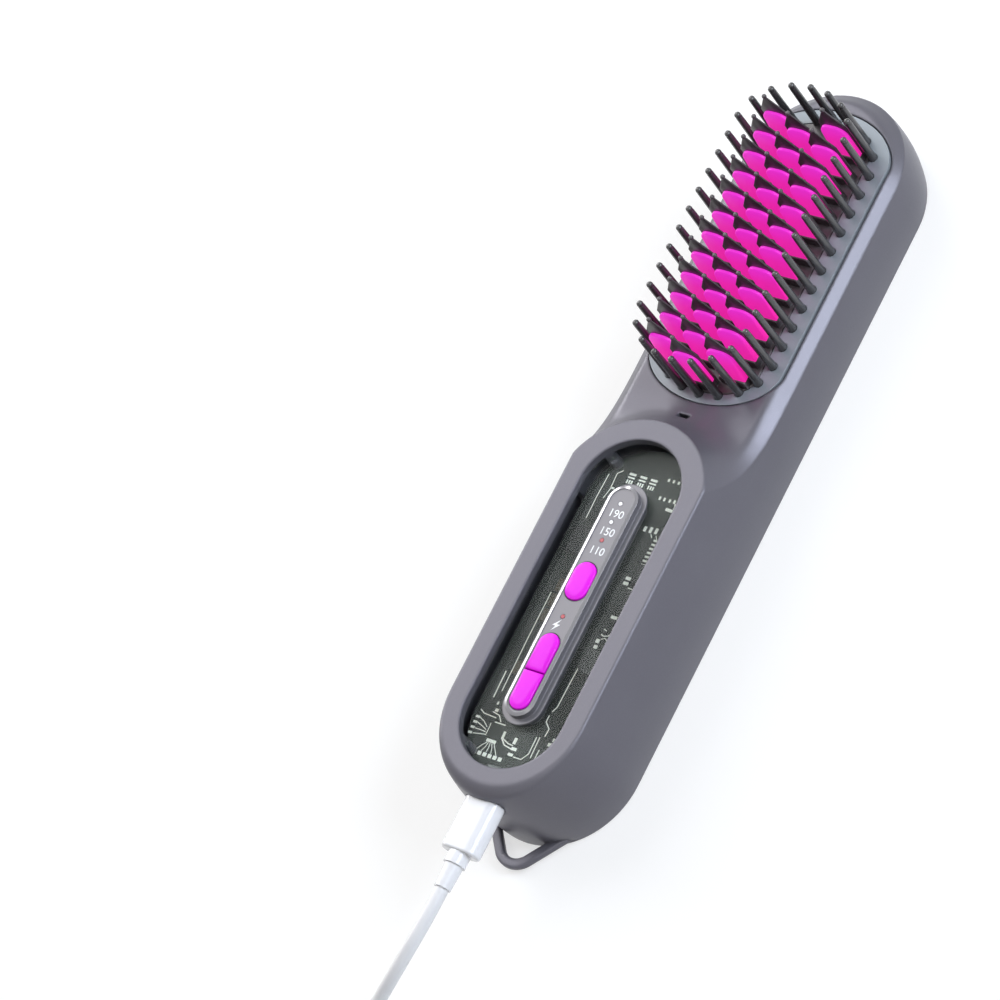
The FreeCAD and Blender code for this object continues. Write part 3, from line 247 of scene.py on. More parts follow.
foamBlack = plainFinish("foamBlack", {
    "base": (0.035, 0.035, 0.038), "deep": (0.015, 0.015, 0.017), "rough": 0.9, "cloud": 1400,
    "depth": 0.0003,
})
ceramicIvory = plainFinish("ceramicIvory", {
    "base": (0.72, 0.69, 0.62), "deep": (0.64, 0.61, 0.55), "rough": 0.55, "cloud": 400, "depth": 0.00004,
})
micaGold = plainFinish("micaGold", {
    "base": (0.42, 0.33, 0.2), "deep": (0.33, 0.25, 0.14), "rough": 0.3, "cloud": 200, "coat": 0.3,
})
capTan = plainFinish("capTan", {
    "base": (0.115, 0.092, 0.062), "deep": (0.085, 0.068, 0.045), "rough": 0.5, "cloud": 900,
})
wireBlack = plainFinish("wireBlack", {
    "base": (0.05, 0.05, 0.055), "deep": (0.035, 0.035, 0.04), "rough": 0.4, "cloud": 600,
})


def finFinish():  # heat coat, pink at the root and violet along the crest; painted glow: the fins shine in their own colour though they are no lamp, and the base colour is cut to a share so that the glow gives most of it
    s = {"root": (0.98, 0.02, 0.42), "mid": (0.97, 0.024, 0.50), "crest": (0.92, 0.035, 0.72), "midAt": 0.55,
         "low": 0.0235, "high": 0.0344, "cloud": 420, "stain": 0.12, "shade": 0.35, "shadeCloud": 0.05,
         "rough": 0.36, "roughCloud": 0.08, "specular": 0.2, "glow": 0.74,
         "grain": 2200, "depth": 0.00001, "edge": 0.0003}
    paint, w = startPaint("finCoatPaintedGlow")
    height = w.node("SeparateXYZ", None, {0: w.node("TexCoord", out=3)}, 2)
    stops = [(0.0, s["root"]), (s["midAt"], s["mid"]), (1.0, s["crest"])]
    tone = w.node("ValToRGB", {"stops": stops}, {0: height.fit(s["low"], s["high"])})
    cloud = patches(grain(w, s["cloud"], 3))
    tone = (cloud * s["stain"]).blend(tone, rgb(s["root"]))
    bump = lift(w, grain(w, s["grain"], 2), s["depth"], softEdge(w, s["edge"]))
    deep = (cloud * s["shadeCloud"] + s["shade"]).blend(rgb((0, 0, 0)), tone)
    return closePaint(paint, w.node("BsdfPrincipled", None, {
        "Base Color": deep, "Roughness": cloud * s["roughCloud"] + s["rough"], "Normal": bump,
        # painted glow: emission in the fin colour, the fins are no lamp
        "Specular IOR Level": s["specular"], "Emission Color": tone, "Emission Strength": s["glow"],
    }))


def lensFinish():  # thin clear window: sees through, shines at its fresnel angle
    s = {"index": 1.46, "shine": 0.12, "tint": (0.93, 0.95, 0.94), "rough": 0.06,
         "haze": 0.006, "hazeScale": 60, "hazeFrom": 0.35, "hazeTo": 0.75}
    paint, w = startPaint("lensClear")
    shine = w.node("Fresnel", None, {"IOR": s["index"]})
    haze = grain(w, s["hazeScale"], 2).fit(s["hazeFrom"], s["hazeTo"], 0.0, s["haze"])
    clear = w.node("BsdfTransparent", None, {"Color": rgb(s["tint"])})
    gloss = w.node("BsdfGlossy", None, {"Color": rgb((1, 1, 1)), "Roughness": s["rough"]})
    return closePaint(paint, w.node("MixShader", None, {0: shine * s["shine"] + haze, 1: clear, 2: gloss}))


def dotFinish():  # clear pins, two lit white and two red
    s = {"white": (0.9, 0.9, 0.92), "red": (0.42, 0.015, 0.03), "split": -0.0285, "dust": (0.6, 0.5, 0.52),
         "dustShare": 0.2, "cloud": 1800, "rough": 0.2, "roughCloud": 0.1}
    paint, w = startPaint("dotLight")
    along = w.node("SeparateXYZ", None, {0: w.node("TexCoord", out=3)}, 1)
    upper = w.maths("GREATER_THAN", along, s["split"])
    cloud = patches(grain(w, s["cloud"], 2))
    tone = upper.blend(rgb(s["red"]), rgb(s["white"]))
    tone = (cloud * s["dustShare"]).blend(tone, rgb(s["dust"]))
    rough = cloud * s["roughCloud"] + s["rough"]
    return closePaint(paint, w.node("BsdfPrincipled", None, {"Base Color": tone, "Roughness": rough}))


dotLight = dotFinish()
finCoatPaintedGlow = finFinish()
lensClear = lensFinish()

finishOf = {
    "main_housing": shellPaint, "rear_cover": shellPaint, "hanging_loop": shellPaint,
    "window_lens": lensClear, "control_strip": stripGrey, "light_guides": dotLight,
    "temp_button": buttonPink, "power_key_upper": buttonPink, "power_key_lower": buttonPink,
    "temp_plunger": chipBlack, "power_plunger_upper": chipBlack, "power_plunger_lower": chipBlack,
    "head_insert": insertGrey, "bristle_ring": bristleDark, "tip_guard": bladeDark, "heating_comb": finCoatPaintedGlow,
    "ceramic_heater": ceramicIvory, "mica_sheet": micaGold, "heater_clamp": steelBright,
    "clamp_screws": steelBright, "thermal_fuse": ceramicIvory, "thermistor": wireBlack,
    "ion_module": chipBlack, "ion_needle": steelBright, "ion_pad": foamBlack, "circuit_board": boardLacquer,
    "switch_bodies": chipBlack, "status_leds": inkWhite, "controller_chip": chipBlack,
    "power_transistors": chipBlack, "inductor": chipBlack, "capacitors": capTan,
    "board_connectors": plugWhite, "usb_receptacle": steelDark, "usb_tongue": chipBlack,
    "chassis": bristleDark, "board_screws": steelBright, "battery_cell": cellWrap,
    "battery_pad_lower": foamBlack, "battery_pad_upper": foamBlack, "battery_leads": wireBlack,
    "heater_leads": wireBlack, "plug_shell": steelBright, "plug_overmould": plugWhite,
    "plug_relief": plugWhite, "charging_cable": cordWhite, "cable_coil": cordWhite, "cable_tail": cordWhite,
    "cable_tie": plugWhite, "usb_a_overmould": plugWhite, "usb_a_shell": steelBright,
    "usb_a_tongue": plugWhite,
}
for node, paint in finishOf.items():
    nodes[node].data.materials.clear()
    nodes[node].data.materials.append(paint)
print("finishes on", len(finishOf), "nodes")


def keep(name, bm, body, paint, smooth):  # makes the piece; sharp where faces turn past smooth degrees
    mesh = bpy.data.meshes.new(name)
    bm.to_mesh(mesh)
    bm.free()
    piece = bpy.data.objects.new(name, mesh)
    scene.collection.objects.link(piece)
    mesh.materials.append(paint)
    mesh.shade_smooth()
    mesh.set_sharp_from_angle(angle=math.radians(smooth))
    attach(piece, body)
    return piece


def stamp(unit, places, bed):  # one copy of a small mesh at each place, and the bed they stand on
    bm = bmesh.new()
    for x, y in places:
        start = len(bm.verts)
        bm.from_mesh(unit)
        bm.verts.ensure_lookup_table()
        bmesh.ops.translate(bm, verts=bm.verts[start:], vec=(x * mm, y * mm, 0))
    bm.from_mesh(bed)
    bpy.data.meshes.remove(unit)
    bpy.data.meshes.remove(bed)
    return bm


def unitMesh(bm):
    bmesh.ops.recalc_face_normals(bm, faces=bm.faces)
    mesh = bpy.data.meshes.new("unit")
    bm.to_mesh(mesh)
    bm.free()
    return mesh


def pullUp(bm, faces, rise):  # extrudes faces and gives back the new corner points
    made = bmesh.ops.extrude_face_region(bm, geom=faces)["geom"]
    verts = [g for g in made if isinstance(g, bmesh.types.BMVert)]
    bmesh.ops.translate(bm, verts=verts, vec=rise)
    return verts


def soften(bm, geom, offset, segments, affect="EDGES"):
    bmesh.ops.bevel(
        bm, geom=geom, offset=offset * mm, affect=affect, segments=segments, profile=0.5, material=-1)


def sharpRim(bm, verts):  # edges among these points that turn by more than a radian
    return [e for e in bm.edges if set(e.verts) <= verts and e.calc_face_angle(0) > 1]


def ovalFace(bm, s):  # flat face with straight sides and flattened round ends
    turn = Matrix.Rotation(math.pi / s["segments"], 4, "Z")
    ring = bmesh.ops.create_circle(bm, segments=s["segments"], radius=mm, cap_ends=True, matrix=turn)
    verts = ring["verts"]
    bmesh.ops.scale(bm, verts=verts, vec=(s["halfWidth"], s["endDepth"], 1))
    for way in (1, -1):
        end = [v for v in verts if v.co.y * way > 0]
        bmesh.ops.translate(bm, verts=end, vec=(0, way * s["halfStraight"] * mm, 0))
    bmesh.ops.translate(bm, verts=verts, vec=(0, s["middle"] * mm, s["low"] * mm))
    return bm.faces[:]


def stepIn(bm, face, thickness):  # an even frame round the edge of a lone face
    bmesh.ops.inset_region(bm, faces=face, thickness=thickness * mm, use_boundary=True, use_even_offset=True)


def ovalPlate(s):  # oval slab or ring with a soft upper rim
    bm = bmesh.new()
    face = ovalFace(bm, s)
    if "hole" in s:
        stepIn(bm, face, s["hole"])
        bmesh.ops.delete(bm, geom=face, context="FACES")
        face = bm.faces[:]
    top = set(pullUp(bm, face, (0, 0, (s["high"] - s["low"]) * mm)))
    bmesh.ops.recalc_face_normals(bm, faces=bm.faces)
    soften(bm, sharpRim(bm, top), s["rim"], segments=3)
    return bm


toothPlan = {"columns": [(0, 16.8), (-8.2, 19.6), (8.2, 19.6)], "pitch": 5.6, "rows": 12}
toothPlaces = [
    (x, y + k * toothPlan["pitch"]) for x, y in toothPlan["columns"] for k in range(toothPlan["rows"])
]


def heatFins():  # broad rounded lobes, each leaning back on its blade
    s = {"halfWidth": 3.65, "shoulder": 2.9, "top": 34.5, "plate": 20.9, "root": 15.4, "foot": 1.9,
         "crest": 0.7, "back": -0.4, "round": 0.32, "arcs": 10, "slack": 0.1}
    bed = {"halfWidth": 12.3, "endDepth": 5.6, "halfStraight": 30.6, "middle": 50.4,
           "low": 14.4, "high": 16.4, "rim": 0.2, "segments": 48}
    bm = bmesh.new()
    stand = Matrix.Translation((0, s["back"] * mm, s["plate"] * mm)) @ Matrix.Rotation(math.pi / 2, 4, "X")
    bmesh.ops.create_grid(bm, x_segments=1, y_segments=2, size=mm, matrix=stand)
    for v in bm.verts:  # the grid's three rows go to the root, the plate and the top
        v.co.x *= s["halfWidth"]
        rise = v.co.z / mm - s["plate"]
        v.co.z = (s["plate"] if abs(rise) < s["slack"] else s["top"] if rise > 0 else s["root"]) * mm
    corners = [v for v in bm.verts if v.co.z > (s["top"] - s["slack"]) * mm]
    soften(bm, corners, s["shoulder"], s["arcs"], "VERTICES")
    front = set(pullUp(bm, bm.faces[:], (0, -s["foot"] * mm, 0)))
    lean = (s["foot"] - s["crest"]) / (s["top"] - s["plate"])
    for v in front:
        v.co.y += max(0, v.co.z - s["plate"] * mm) * lean
    bmesh.ops.recalc_face_normals(bm, faces=bm.faces)
    soften(bm, sharpRim(bm, front), s["round"], segments=4)
    bm = stamp(unitMesh(bm), toothPlaces, unitMesh(ovalPlate(bed)))
    return keep("heatFins", bm, "brush", finCoatPaintedGlow, smooth=40)


def lowest(edge):
    return min(v.co.z for v in edge.verts)


def tipGuard():  # knife blades with a small knob on each point, on a dark bed
    s = {"halfWidth": 3.9, "foot": 0.35, "edge": 0.2, "root": 19.7, "shoulder": 34.1, "neck": 40.3,
         "neckHalf": 0.5, "knob": 0.62, "top": 41.39, "round": 0.15, "turn": 0.6, "slack": 0.01}
    block = {"halfWidth": 3.75, "near": -2.62, "far": 0.3, "low": 20.6, "high": 23.5, "round": 0.5,
             "slack": 0.1}
    bed = {"halfWidth": 12.9, "endDepth": 6.2, "halfStraight": 30.6, "middle": 50.4,
           "low": 16.4, "high": 20.9, "rim": 0.35, "segments": 64}
    bm = bmesh.new()
    bmesh.ops.create_cube(bm, size=mm)
    bmesh.ops.scale(bm, verts=bm.verts, vec=(2 * s["halfWidth"], 2 * s["foot"], s["shoulder"] - s["root"]))
    bmesh.ops.translate(bm, verts=bm.verts, vec=(0, 0, (s["shoulder"] + s["root"]) / 2 * mm))
    upper = max(bm.faces, key=lambda f: f.calc_center_median().z)
    bmesh.ops.scale(bm, verts=upper.verts, vec=(1, (s["foot"] + s["edge"]) / 2 / s["foot"], 1))
    tip = pullUp(bm, [upper], (0, 0, (s["neck"] - s["shoulder"]) * mm))
    thin = 2 * s["edge"] / (s["foot"] + s["edge"])
    bmesh.ops.scale(bm, verts=tip, vec=(s["neckHalf"] / s["halfWidth"], thin, 1))
    bmesh.ops.recalc_face_normals(bm, faces=bm.faces)
    under = s["neck"] * mm * (1 - s["slack"])
    over = s["root"] * mm * (1 + s["slack"])
    sides = [
        e for e in bm.edges
        if e.calc_face_angle(0) > s["turn"] and lowest(e) < under and max(v.co.z for v in e.verts) > over
    ]
    soften(bm, sides, s["round"], segments=2)
    knobPlace = Matrix.Translation((0, 0, (s["top"] - s["knob"]) * mm))
    bmesh.ops.create_uvsphere(bm, u_segments=10, v_segments=6, radius=s["knob"] * mm, matrix=knobPlace)
    middle = (0, (block["near"] + block["far"]) / 2 * mm, (block["low"] + block["high"]) / 2 * mm)
    span = (2 * block["halfWidth"], block["far"] - block["near"], block["high"] - block["low"], 1)
    shape = Matrix.Translation(middle) @ Matrix.Diagonal(span)
    plinth = bmesh.ops.create_cube(bm, size=mm, matrix=shape)["verts"]
    edges = {e for v in plinth for e in v.link_edges}
    crown = [e for e in edges if lowest(e) > (block["high"] - block["slack"]) * mm]
    soften(bm, crown, block["round"], segments=3)
    bm = stamp(unitMesh(bm), toothPlaces, unitMesh(ovalPlate(bed)))
    return keep("tipGuard", bm, "brush", bladeDark, smooth=30)


def ringPlaces(s):  # evenly along both sides, and by equal arc round each flattened end
    pitch = 2 * s["halfStraight"] / (s["sideCount"] - 1)
    rows = [s["middle"] - s["halfStraight"] + k * pitch for k in range(s["sideCount"])]
    places = [(side * s["halfWidth"], y) for side in (-1, 1) for y in rows]
    turns = [math.pi * k / s["fine"] for k in range(s["fine"] + 1)]
    arc = [(s["halfWidth"] * math.cos(t), s["endDepth"] * math.sin(t)) for t in turns]
    run = [0.0]
    for a, b in zip(arc, arc[1:]):
        run.append(run[-1] + math.dist(a, b))
    for k in range(1, s["endCount"] + 1):
        goal = run[-1] * k / (s["endCount"] + 1)
        x, y = arc[min(range(len(run)), key=lambda i: abs(run[i] - goal))]
        places += [(x, s["middle"] + way * (s["halfStraight"] + y)) for way in (1, -1)]
    return places


def bristleRing():  # tapered pins with a soft foot and a small knob, on an oval carrier
    s = {"halfWidth": 15.0, "halfStraight": 26.2, "endDepth": 11.2, "middle": 50.4,
         "sideCount": 11, "endCount": 7, "fine": 720, "steps": 16, "weld": 1e-6}
    profile = [(0, 18.8), (1.15, 18.8), (1.2, 20.8), (1.2, 21.0), (1.13, 21.5), (1.05, 22.3), (0.96, 27.0),
               (0.84, 36.3), (0.8, 36.5), (0.7, 36.62), (0.68, 36.7), (0.72, 36.8), (0.8, 37.0),
               (0.82, 37.25), (0.74, 37.6), (0.52, 37.86), (0.26, 37.97), (0, 38.0)]
    bed = {"halfWidth": 16.6, "endDepth": 12.8, "halfStraight": 26.2, "middle": 50.4,
           "low": 17.6, "high": 18.8, "rim": 0.15, "segments": 64, "hole": 3.6}
    bm = bmesh.new()
    line = [bm.verts.new((r * mm, 0, z * mm)) for r, z in profile]
    path = [bm.edges.new(pair) for pair in zip(line, line[1:])]
    bmesh.ops.spin(
        bm, geom=line + path, cent=(0, 0, 0), axis=(0, 0, 1), angle=2 * math.pi, steps=s["steps"],
        use_merge=True)
    bmesh.ops.remove_doubles(bm, verts=bm.verts, dist=s["weld"])
    bm = stamp(unitMesh(bm), ringPlaces(s), unitMesh(ovalPlate(bed)))
    return keep("bristleRing", bm, "brush", bristleDark, smooth=60)


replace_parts(heatFins(), "heating_comb")
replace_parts(tipGuard(), "tip_guard")
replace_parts(bristleRing(), "bristle_ring")
print("head pieces made")


def boardPads():  # tinned lands, softened blocks a hair above the lacquer
    s = {"low": 20.4, "rise": 0.07, "round": 0.1}
    lands = [
        (3.4, -9.6, 0.55, 0.8), (4.8, -9.6, 0.55, 0.8), (6.2, -9.6, 0.55, 0.8), (7.5, -9.6, 0.55, 0.8),
        (3.4, -14.4, 0.55, 0.9), (4.7, -14.4, 0.55, 0.9), (6.2, -14.4, 0.55, 0.9),
        (7.5, -14.3, 0.55, 0.9), (3.6, -22.6, 0.75, 1.3), (5.2, -22.5, 0.75, 1.5),
        (6.7, -22.4, 0.75, 1.5), (5.7, -35.3, 1.4, 0.8), (5.7, -36.6, 1.4, 0.8), (7.1, -45.3, 1.7, 0.8),
        (6.0, -51.8, 1.0, 1.0), (6.2, -53.3, 1.0, 0.9), (-9.6, -15.3, 0.8, 0.5), (-10.7, -73.2, 0.5, 0.8),
        (-10.1, -74.9, 0.9, 0.8), (-7.6, -82.3, 2.7, 0.8), (-1.7, -80.5, 0.8, 1.6),
        (-1.0, -82.4, 1.5, 0.8), (-1.2, -83.9, 1.4, 0.7), (7.3, -78.8, 1.2, 0.9), (8.0, -77.5, 1.2, 0.9),
        (8.6, -75.3, 0.9, 1.3),
    ]
    lands += [(8.3 - 0.033 * k, -24.7 - 1.08 * k, 2.3, 0.5) for k in range(10)]
    for x in (-6.3, -3.2, -0.2):  # three small packages with their legs
        lands += [(x, -10.7, 1.9, 0.6), (x, -11.6, 1.9, 0.4)]
        lands += [(x + 0.66 * k, -12.7, 0.4, 1.0) for k in (-1, 0, 1)]
    lands += [(-14.0, -77.7 - 1.37 * k, 1.1, 0.6) for k in range(4)]
    lands += [(-10.5 + 1.46 * k, -85.8, 1.0, 1.0) for k in range(6)]
    bm = bmesh.new()
    for x, y, wide, long in lands:
        shape = Matrix.Translation((x * mm, y * mm, (s["low"] + s["rise"] / 2) * mm))
        bmesh.ops.create_cube(bm, size=mm, matrix=shape @ Matrix.Diagonal((wide, long, s["rise"], 1)))
    uprights = [e for e in bm.edges if abs(e.verts[0].co.z - e.verts[1].co.z) > 0.5 * s["rise"] * mm]
    soften(bm, uprights, s["round"], segments=3)
    return keep("boardPads", bm, "brush", padTinPaintedGlow, smooth=40)


def tube(name, kind, width, rounding, path):  # round curve through places in mm
    curve = bpy.data.curves.new(name, "CURVE")
    curve.dimensions = "3D"
    curve.bevel_depth = width / 2 * mm
    curve.bevel_resolution = rounding
    curve.use_fill_caps = True
    spline = curve.splines.new(kind)
    spline.points.add(len(path) - 1)
    for point, place in zip(spline.points, path):
        point.co = (*(c * mm for c in place), 1)
    return curve, spline


def addCurve(bm, curve):  # a curve or a text as mesh, and gives back its points
    holder = bpy.data.objects.new(curve.name, curve)
    start = len(bm.verts)
    bm.from_mesh(holder.to_mesh())
    holder.to_mesh_clear()
    bpy.data.objects.remove(holder)
    bpy.data.curves.remove(curve)
    bm.verts.ensure_lookup_table()
    return bm.verts[start:]


def boardTraces():  # printed lines, flat round-ended ribbons
    s = {"low": 20.4, "flat": 0.16, "lift": 0.03, "rounding": 1}
    runs = [
        (0.28, [(-9.1, -10.4), (-10.4, -11.5), (-10.2, -15.7), (-10.8, -18.3)]),
        (0.25, [(-12.4, -12.2), (-12.6, -18.3), (-12.5, -24.2)]), (0.8, [(6.2, -16.6), (8.9, -16.7)]),
        (0.3, [(7.9, -14.7), (8.2, -15.4), (8.2, -16.2)]), (0.25, [(5.7, -23.4), (6.4, -24.3)]),
        (0.25, [(7.2, -23.5), (7.9, -24.4)]), (0.3, [(6.8, -37.5), (9.3, -37.7)]),
        (0.25, [(6.1, -48.6), (7.0, -48.9)]),
        (0.3, [(6.0, -50.0), (6.8, -50.3), (7.9, -50.0), (8.5, -49.0)]),
        (0.25, [(6.6, -51.2), (7.5, -50.7), (8.4, -51.2), (9.0, -57.0)]),
        (0.35, [(6.8, -57.5), (8.0, -58.4), (9.2, -58.3)]),
        (0.3, [(5.7, -55.0), (4.8, -56.1), (4.5, -62.8), (4.4, -69.8), (3.7, -71.2)]),
        (0.35, [(3.5, -72.2), (3.5, -73.9), (5.1, -75.3), (5.0, -77.3)]),
        (0.35, [(-12.8, -65.3), (-12.6, -72.2)]), (0.3, [(-11.7, -43.9), (-11.6, -56.7), (-11.3, -70.2)]),
        (0.3, [(-10.9, -75.5), (-8.8, -75.9), (-7.6, -77.3)]),
        (0.3, [(-14.2, -75.8), (-12.9, -76.5), (-9.3, -76.7)]), (0.35, [(-9.1, -77.7), (-6.0, -77.7)]),
        (0.25, [(-13.4, -77.7), (-11.9, -78.3), (-10.4, -79.4)]),
        (0.25, [(-13.4, -79.0), (-11.8, -79.5), (-10.3, -80.1)]),
        (0.25, [(-13.3, -80.5), (-11.8, -80.5), (-10.2, -80.6)]),
        (0.25, [(-13.2, -81.8), (-11.6, -81.5), (-10.0, -81.2)]),
        (0.25, [(-9.9, -78.2), (-9.8, -79.8), (-9.8, -81.4)]),
        (0.22, [(-10.3, -85.2), (-9.4, -83.8), (-8.5, -82.8)]),
        (0.22, [(-8.9, -85.2), (-8.3, -83.9), (-8.1, -82.8)]),
        (0.22, [(-7.5, -85.1), (-7.4, -83.9), (-7.6, -82.8)]),
        (0.22, [(-6.1, -85.2), (-6.5, -83.9), (-7.1, -82.8)]),
        (0.22, [(-4.6, -85.2), (-5.6, -83.9), (-6.6, -82.6)]), (0.7, [(-5.3, -79.1), (-5.2, -81.0)]),
        (0.35, [(-5.2, -81.0), (-3.9, -82.2), (-1.7, -82.6)]),
        (0.3, [(-4.9, -80.9), (-3.1, -81.6), (-1.7, -81.7)]),
        (0.3, [(3.1, -78.0), (3.2, -82.4), (2.0, -84.2), (-0.2, -84.2)]),
        (0.3, [(3.9, -77.8), (4.1, -83.2)]), (0.3, [(5.3, -80.7), (5.3, -83.6)]),
    ]
    bm = bmesh.new()
    for width, path in runs:
        addCurve(bm, tube("run", "POLY", width, s["rounding"], [(x, y, 0) for x, y in path])[0])
    bmesh.ops.scale(bm, verts=bm.verts, vec=(1, 1, s["flat"]))
    bmesh.ops.translate(bm, verts=bm.verts, vec=(0, 0, (s["low"] + s["lift"]) * mm))
    return keep("boardTraces", bm, "brush", padTinPaintedGlow, smooth=60)


def stripMarks():  # printed heat steps and the charge mark
    s = {"top": 28.7, "thick": 0.03, "high": 1.95, "capShare": 0.7, "bold": 0.02, "rounding": 4,
         "words": [("190", 0.2, -24.0), ("150", 0.2, -28.8), ("110", 0.1, -33.9)], "boltAt": (-0.6, -53.7)}
    bolt = [(0.75, 1.6), (-1.05, -0.2), (-0.1, -0.2), (-0.75, -1.6), (1.05, 0.25), (0.1, 0.25)]
    bm = bmesh.new()
    for word, x, y in s["words"]:
        text = bpy.data.curves.new("mark", "FONT")
        text.body = word
        text.align_x = "CENTER"
        text.align_y = "CENTER"
        text.size = s["high"] / s["capShare"] * mm
        text.offset = s["bold"] * mm
        text.extrude = s["thick"] / 2 * mm
        text.resolution_u = s["rounding"]
        bmesh.ops.translate(bm, verts=addCurve(bm, text), vec=(x * mm, y * mm, s["top"] * mm))
    middleX, middleY = s["boltAt"]
    outline = [bm.verts.new(((middleX + x) * mm, (middleY + y) * mm, s["top"] * mm)) for x, y in bolt]
    pullUp(bm, [bm.faces.new(outline)], (0, 0, s["thick"] / 2 * mm))
    bmesh.ops.recalc_face_normals(bm, faces=bm.faces)
    return keep("stripMarks", bm, "brush", inkWhite, smooth=30)


def stripRim():  # gloss bevel along the top edge of the bar
    s = {"halfWidth": 4.05, "endDepth": 4.05, "width": 0.85, "low": 28.62, "rise": 0.3, "thick": 0.25,
         "flange": 5.4, "segments": 64}
    low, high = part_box("control_strip")
    s["middle"] = (low[1] + high[1]) / 2 / mm
    s["halfStraight"] = (high[1] - low[1]) / 2 / mm - s["flange"]
    bm = bmesh.new()
    face = ovalFace(bm, s)
    stepIn(bm, face, s["width"])
    bmesh.ops.translate(bm, verts=face[0].verts, vec=(0, 0, s["rise"] * mm))
    bmesh.ops.delete(bm, geom=face, context="FACES")
    pullUp(bm, bm.faces[:], (0, 0, -s["thick"] * mm))
    bmesh.ops.recalc_face_normals(bm, faces=bm.faces)
    return keep("stripRim", bm, "brush", rimGloss, smooth=50)


def keyCap(node, body, way):  # soft domed cap; way is its side of the split, 0 for a whole key
    s = {"flange": 0.4, "ease": 0.01, "drop": 0.4, "wall": 0.02, "gap": 0.01, "segments": 64,
         "dome": [(0.05, 0.16), (0.12, 0.12), (0.3, 0.13), (0.45, 0.13), (0.6, 0.08)]}
    low, high = ([c / mm for c in corner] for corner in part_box(node))
    s["halfWidth"] = s["endDepth"] = (high[0] - low[0]) / 2 - s["flange"] + s["ease"]
    near, far = low[1] + s["flange"] * (way != 1), high[1] - s["flange"] * (way != -1)
    cut = {1: near, -1: far}.get(way)
    if way:  # the whole key mirrored about the split, then cut there
        near, far = (2 * cut - far, far) if way == 1 else (near, 2 * cut - near)
    s["middle"] = (near + far) / 2
    s["halfStraight"] = (far - near) / 2 - s["halfWidth"]
    s["low"] = high[2] - s["drop"]
    bm = bmesh.new()
    ovalFace(bm, s)
    if way:
        bmesh.ops.bisect_plane(
            bm, geom=bm.verts[:] + bm.edges[:] + bm.faces[:], plane_co=(0, (cut + s["gap"] * way) * mm, 0),
            plane_no=(0, -way, 0), clear_outer=True)
    pullUp(bm, bm.faces[:], (0, 0, s["wall"] * mm))
    top = [max(bm.faces, key=lambda f: f.calc_center_median().z)]
    for thickness, rise in s["dome"]:
        bmesh.ops.inset_region(bm, faces=top, thickness=thickness * mm)
        bmesh.ops.translate(bm, verts=top[0].verts, vec=(0, 0, rise * mm))
    bmesh.ops.recalc_face_normals(bm, faces=bm.faces)
    return keep(node + "_cap", bm, body, buttonPink, smooth=60)


def loopStrap():  # hanging strap with a fuller inner side than its solid
    s = {"fuller": 0.7, "middle": (0, -100.4), "weld": 1e-6, "least": 0.1}
    bm = bmesh.new()
    bm.from_mesh(nodes["hanging_loop"].data)
    bmesh.ops.remove_doubles(bm, verts=bm.verts, dist=s["weld"])
    bm.normal_update()
    eye = Vector((*s["middle"], 0)) * mm
    moves = []
    for v in bm.verts:
        side = Vector((v.normal.x, v.normal.y, 0))
        inward = Vector((eye.x - v.co.x, eye.y - v.co.y, 0))
        if side.length > s["least"] and side.dot(inward) > 0:
            moves.append((v, side.normalized() * s["fuller"] * mm))
    for v, step in moves:
        v.co += step
    return keep("loopStrap", bm, "brush", shellPaint, smooth=40)


boardPads()
boardTraces()
stripMarks()
stripRim()
keyCap("temp_button", "temp_key", 0)
keyCap("power_key_upper", "upper_key", 1)
keyCap("power_key_lower", "lower_key", -1)
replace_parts(loopStrap(), "hanging_loop")
print("print and marks made")


cordPlan = {
    "width": 3.3, "start": (0, -119.118, 22.03),
    "route": [(0, -126, 22.03), (-2.9, -137.3, 19), (-8.4, -147.2, 12), (-14.2, -156.2, 5.2),
              (-19.4, -165, 2.6), (-22.5, -173.6, 2.25), (-22.5, -182.6, 2.25)],
    "coilX": 1.5, "coilY": -185.9, "outer": 24.0, "step": 4.6, "low": 2.25, "rise": 4.4,
    "halfTurnsIn": 6, "halfTurnsOut": 5, "perHalfTurn": 8, "swell": 1.0194,
    "tail": [(-20.2, -189.2, 6.65), (-20.2, -195.2, 6.65), (-21.2, -203, 4.3), (-21.2, -212, 4.3)],
    "length": 0.708, "steps": 5, "rounding": 4,
}


def coilPoints(s):
    inward = [s["outer"] - k * s["step"] / 2 for k in range(s["halfTurnsIn"] + 1)]
    outward = [inward[-1] + k * s["step"] / 2 for k in range(s["halfTurnsOut"] + 1)]
    radii = inward + outward
    heights = [s["low"]] * len(inward) + [s["low"] + s["rise"]] * len(outward)
    points = []
    for k in range(len(radii) - 1):
        side = -1 if k % 2 == 0 else 1
        a, b = side * radii[k], -side * radii[k + 1]
        middle, reach = (a + b) / 2, abs(b - a) / 2
        for i in range(s["perHalfTurn"]):
            share = (i + 0.5) / s["perHalfTurn"]
            turn = share * math.pi
            points.append((
                s["coilX"] + middle + side * reach * s["swell"] * math.cos(turn),
                s["coilY"] + side * reach * s["swell"] * math.sin(turn),
                heights[k] + (heights[k + 1] - heights[k]) * share,
            ))
    return points


def makeCord(s):
    path = [s["start"]] + s["route"] + coilPoints(s) + s["tail"]
    curve, spline = tube("chargingCord", "NURBS", s["width"], s["rounding"], path)
    curve.resolution_u = s["steps"]
    spline.order_u = 3
    spline.use_endpoint_u = True
    cord = bpy.data.objects.new("chargingCord", curve)
    scene.collection.objects.link(cord)
    curve.materials.append(cordWhite)
    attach(cord, "charging_lead")
    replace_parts(cord, "charging_cable", "cable_coil", "cable_tail")
    return cord


cord = makeCord(cordPlan)
print("cord laid")


def seenRay(w):  # 1 for the camera, for reflections and through glass, 0 for soft bounce light
    path = w.node("LightPath").socket.node.outputs
    kinds = ("Is Camera Ray", "Is Glossy Ray", "Is Transmission Ray")
    eye, gloss, through = (Wire(w.tree, path[kind]) for kind in kinds)
    return (eye + gloss + through).fit(0, 1)


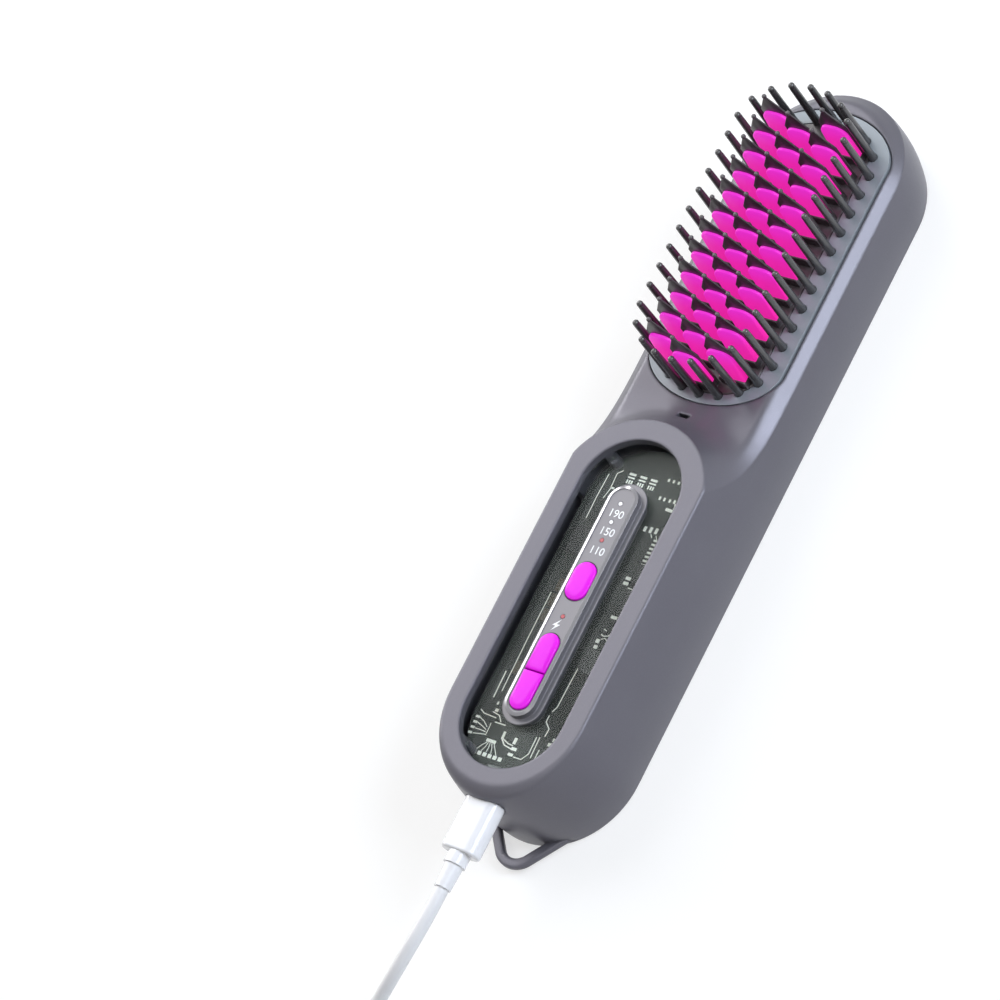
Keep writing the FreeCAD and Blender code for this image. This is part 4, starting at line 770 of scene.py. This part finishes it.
def stageFloor():
    s = {"size": 6.0, "drop": 0.0002, "bright": 0.75, "shadowShare": 0.55, "glow": 1.35}
    bm = bmesh.new()
    bmesh.ops.create_grid(bm, x_segments=1, y_segments=1, size=s["size"])
    mesh = bpy.data.meshes.new("floor")
    bm.to_mesh(mesh)
    bm.free()
    floor = bpy.data.objects.new("floor", mesh)
    floor.location = (0, 0, -s["drop"])
    scene.collection.objects.link(floor)
    paint, w = startPaint("floorPale")
    matt = w.node("BsdfDiffuse", None, {"Color": (s["bright"],) * 3 + (1,)})
    glow = w.node("Emission", None, {"Color": (1, 1, 1, 1), "Strength": s["glow"]})
    share = seenRay(w).fit(0, 1, 0, 1 - s["shadowShare"])
    closePaint(paint, w.node("MixShader", None, {0: share, 1: matt, 2: glow}))
    mesh.materials.append(paint)


def stageLight(name, power, place, aim=(0, 0, 0.02), size=1.0, sizeY=None, colour=(1, 1, 1), spread=180):
    lamp = bpy.data.lights.new(name, "AREA")
    lamp.energy = power
    lamp.color = colour
    lamp.size = size
    lamp.spread = math.radians(spread)
    if sizeY:
        lamp.shape = "RECTANGLE"
        lamp.size_y = sizeY
    holder = bpy.data.objects.new(name, lamp)
    holder.location = place
    holder.rotation_euler = (Vector(aim) - Vector(place)).to_track_quat("-Z", "Y").to_euler()
    scene.collection.objects.link(holder)


def stageWorld(strength):
    world = bpy.data.worlds.new("studio")
    scene.world = world
    world.use_nodes = True
    tree = world.node_tree
    tree.nodes.clear()
    w = Wire(tree)
    level = seenRay(w).fit(0, 1, strength, 1.0)
    back = w.node("Background", None, {"Color": (1, 1, 1, 1), "Strength": level})
    end = tree.nodes.new("ShaderNodeOutputWorld")
    tree.links.new(back.socket, end.inputs[0])


stageFloor()
stageWorld(strength=0.2)
stageLight(
    "sideStrip", 0.78, place=(0.47, 0.21, 0.42), aim=(0.01, 0.03, 0.02), size=0.45, sizeY=0.32,
    colour=(0.80, 0.88, 1.0), spread=70)
stageLight("topCard", 6.8, place=(-0.68, 0.32, 0.95), size=0.9)
stageLight("overhead", 2.2, place=(0.35, -0.25, 1.35), size=0.7)
stageLight("front", 0.4, place=(0.3, -1.0, 0.6), aim=(0, 0.02, 0.02), size=0.6)
stageLight("backCard", 0.8, place=(-0.62, 0.76, 0.52), size=0.11)
stageLight("leftStrip", 8.0, place=(-1.18, 0.29, 0.33), size=1.0, sizeY=0.3)
print("stage lit")
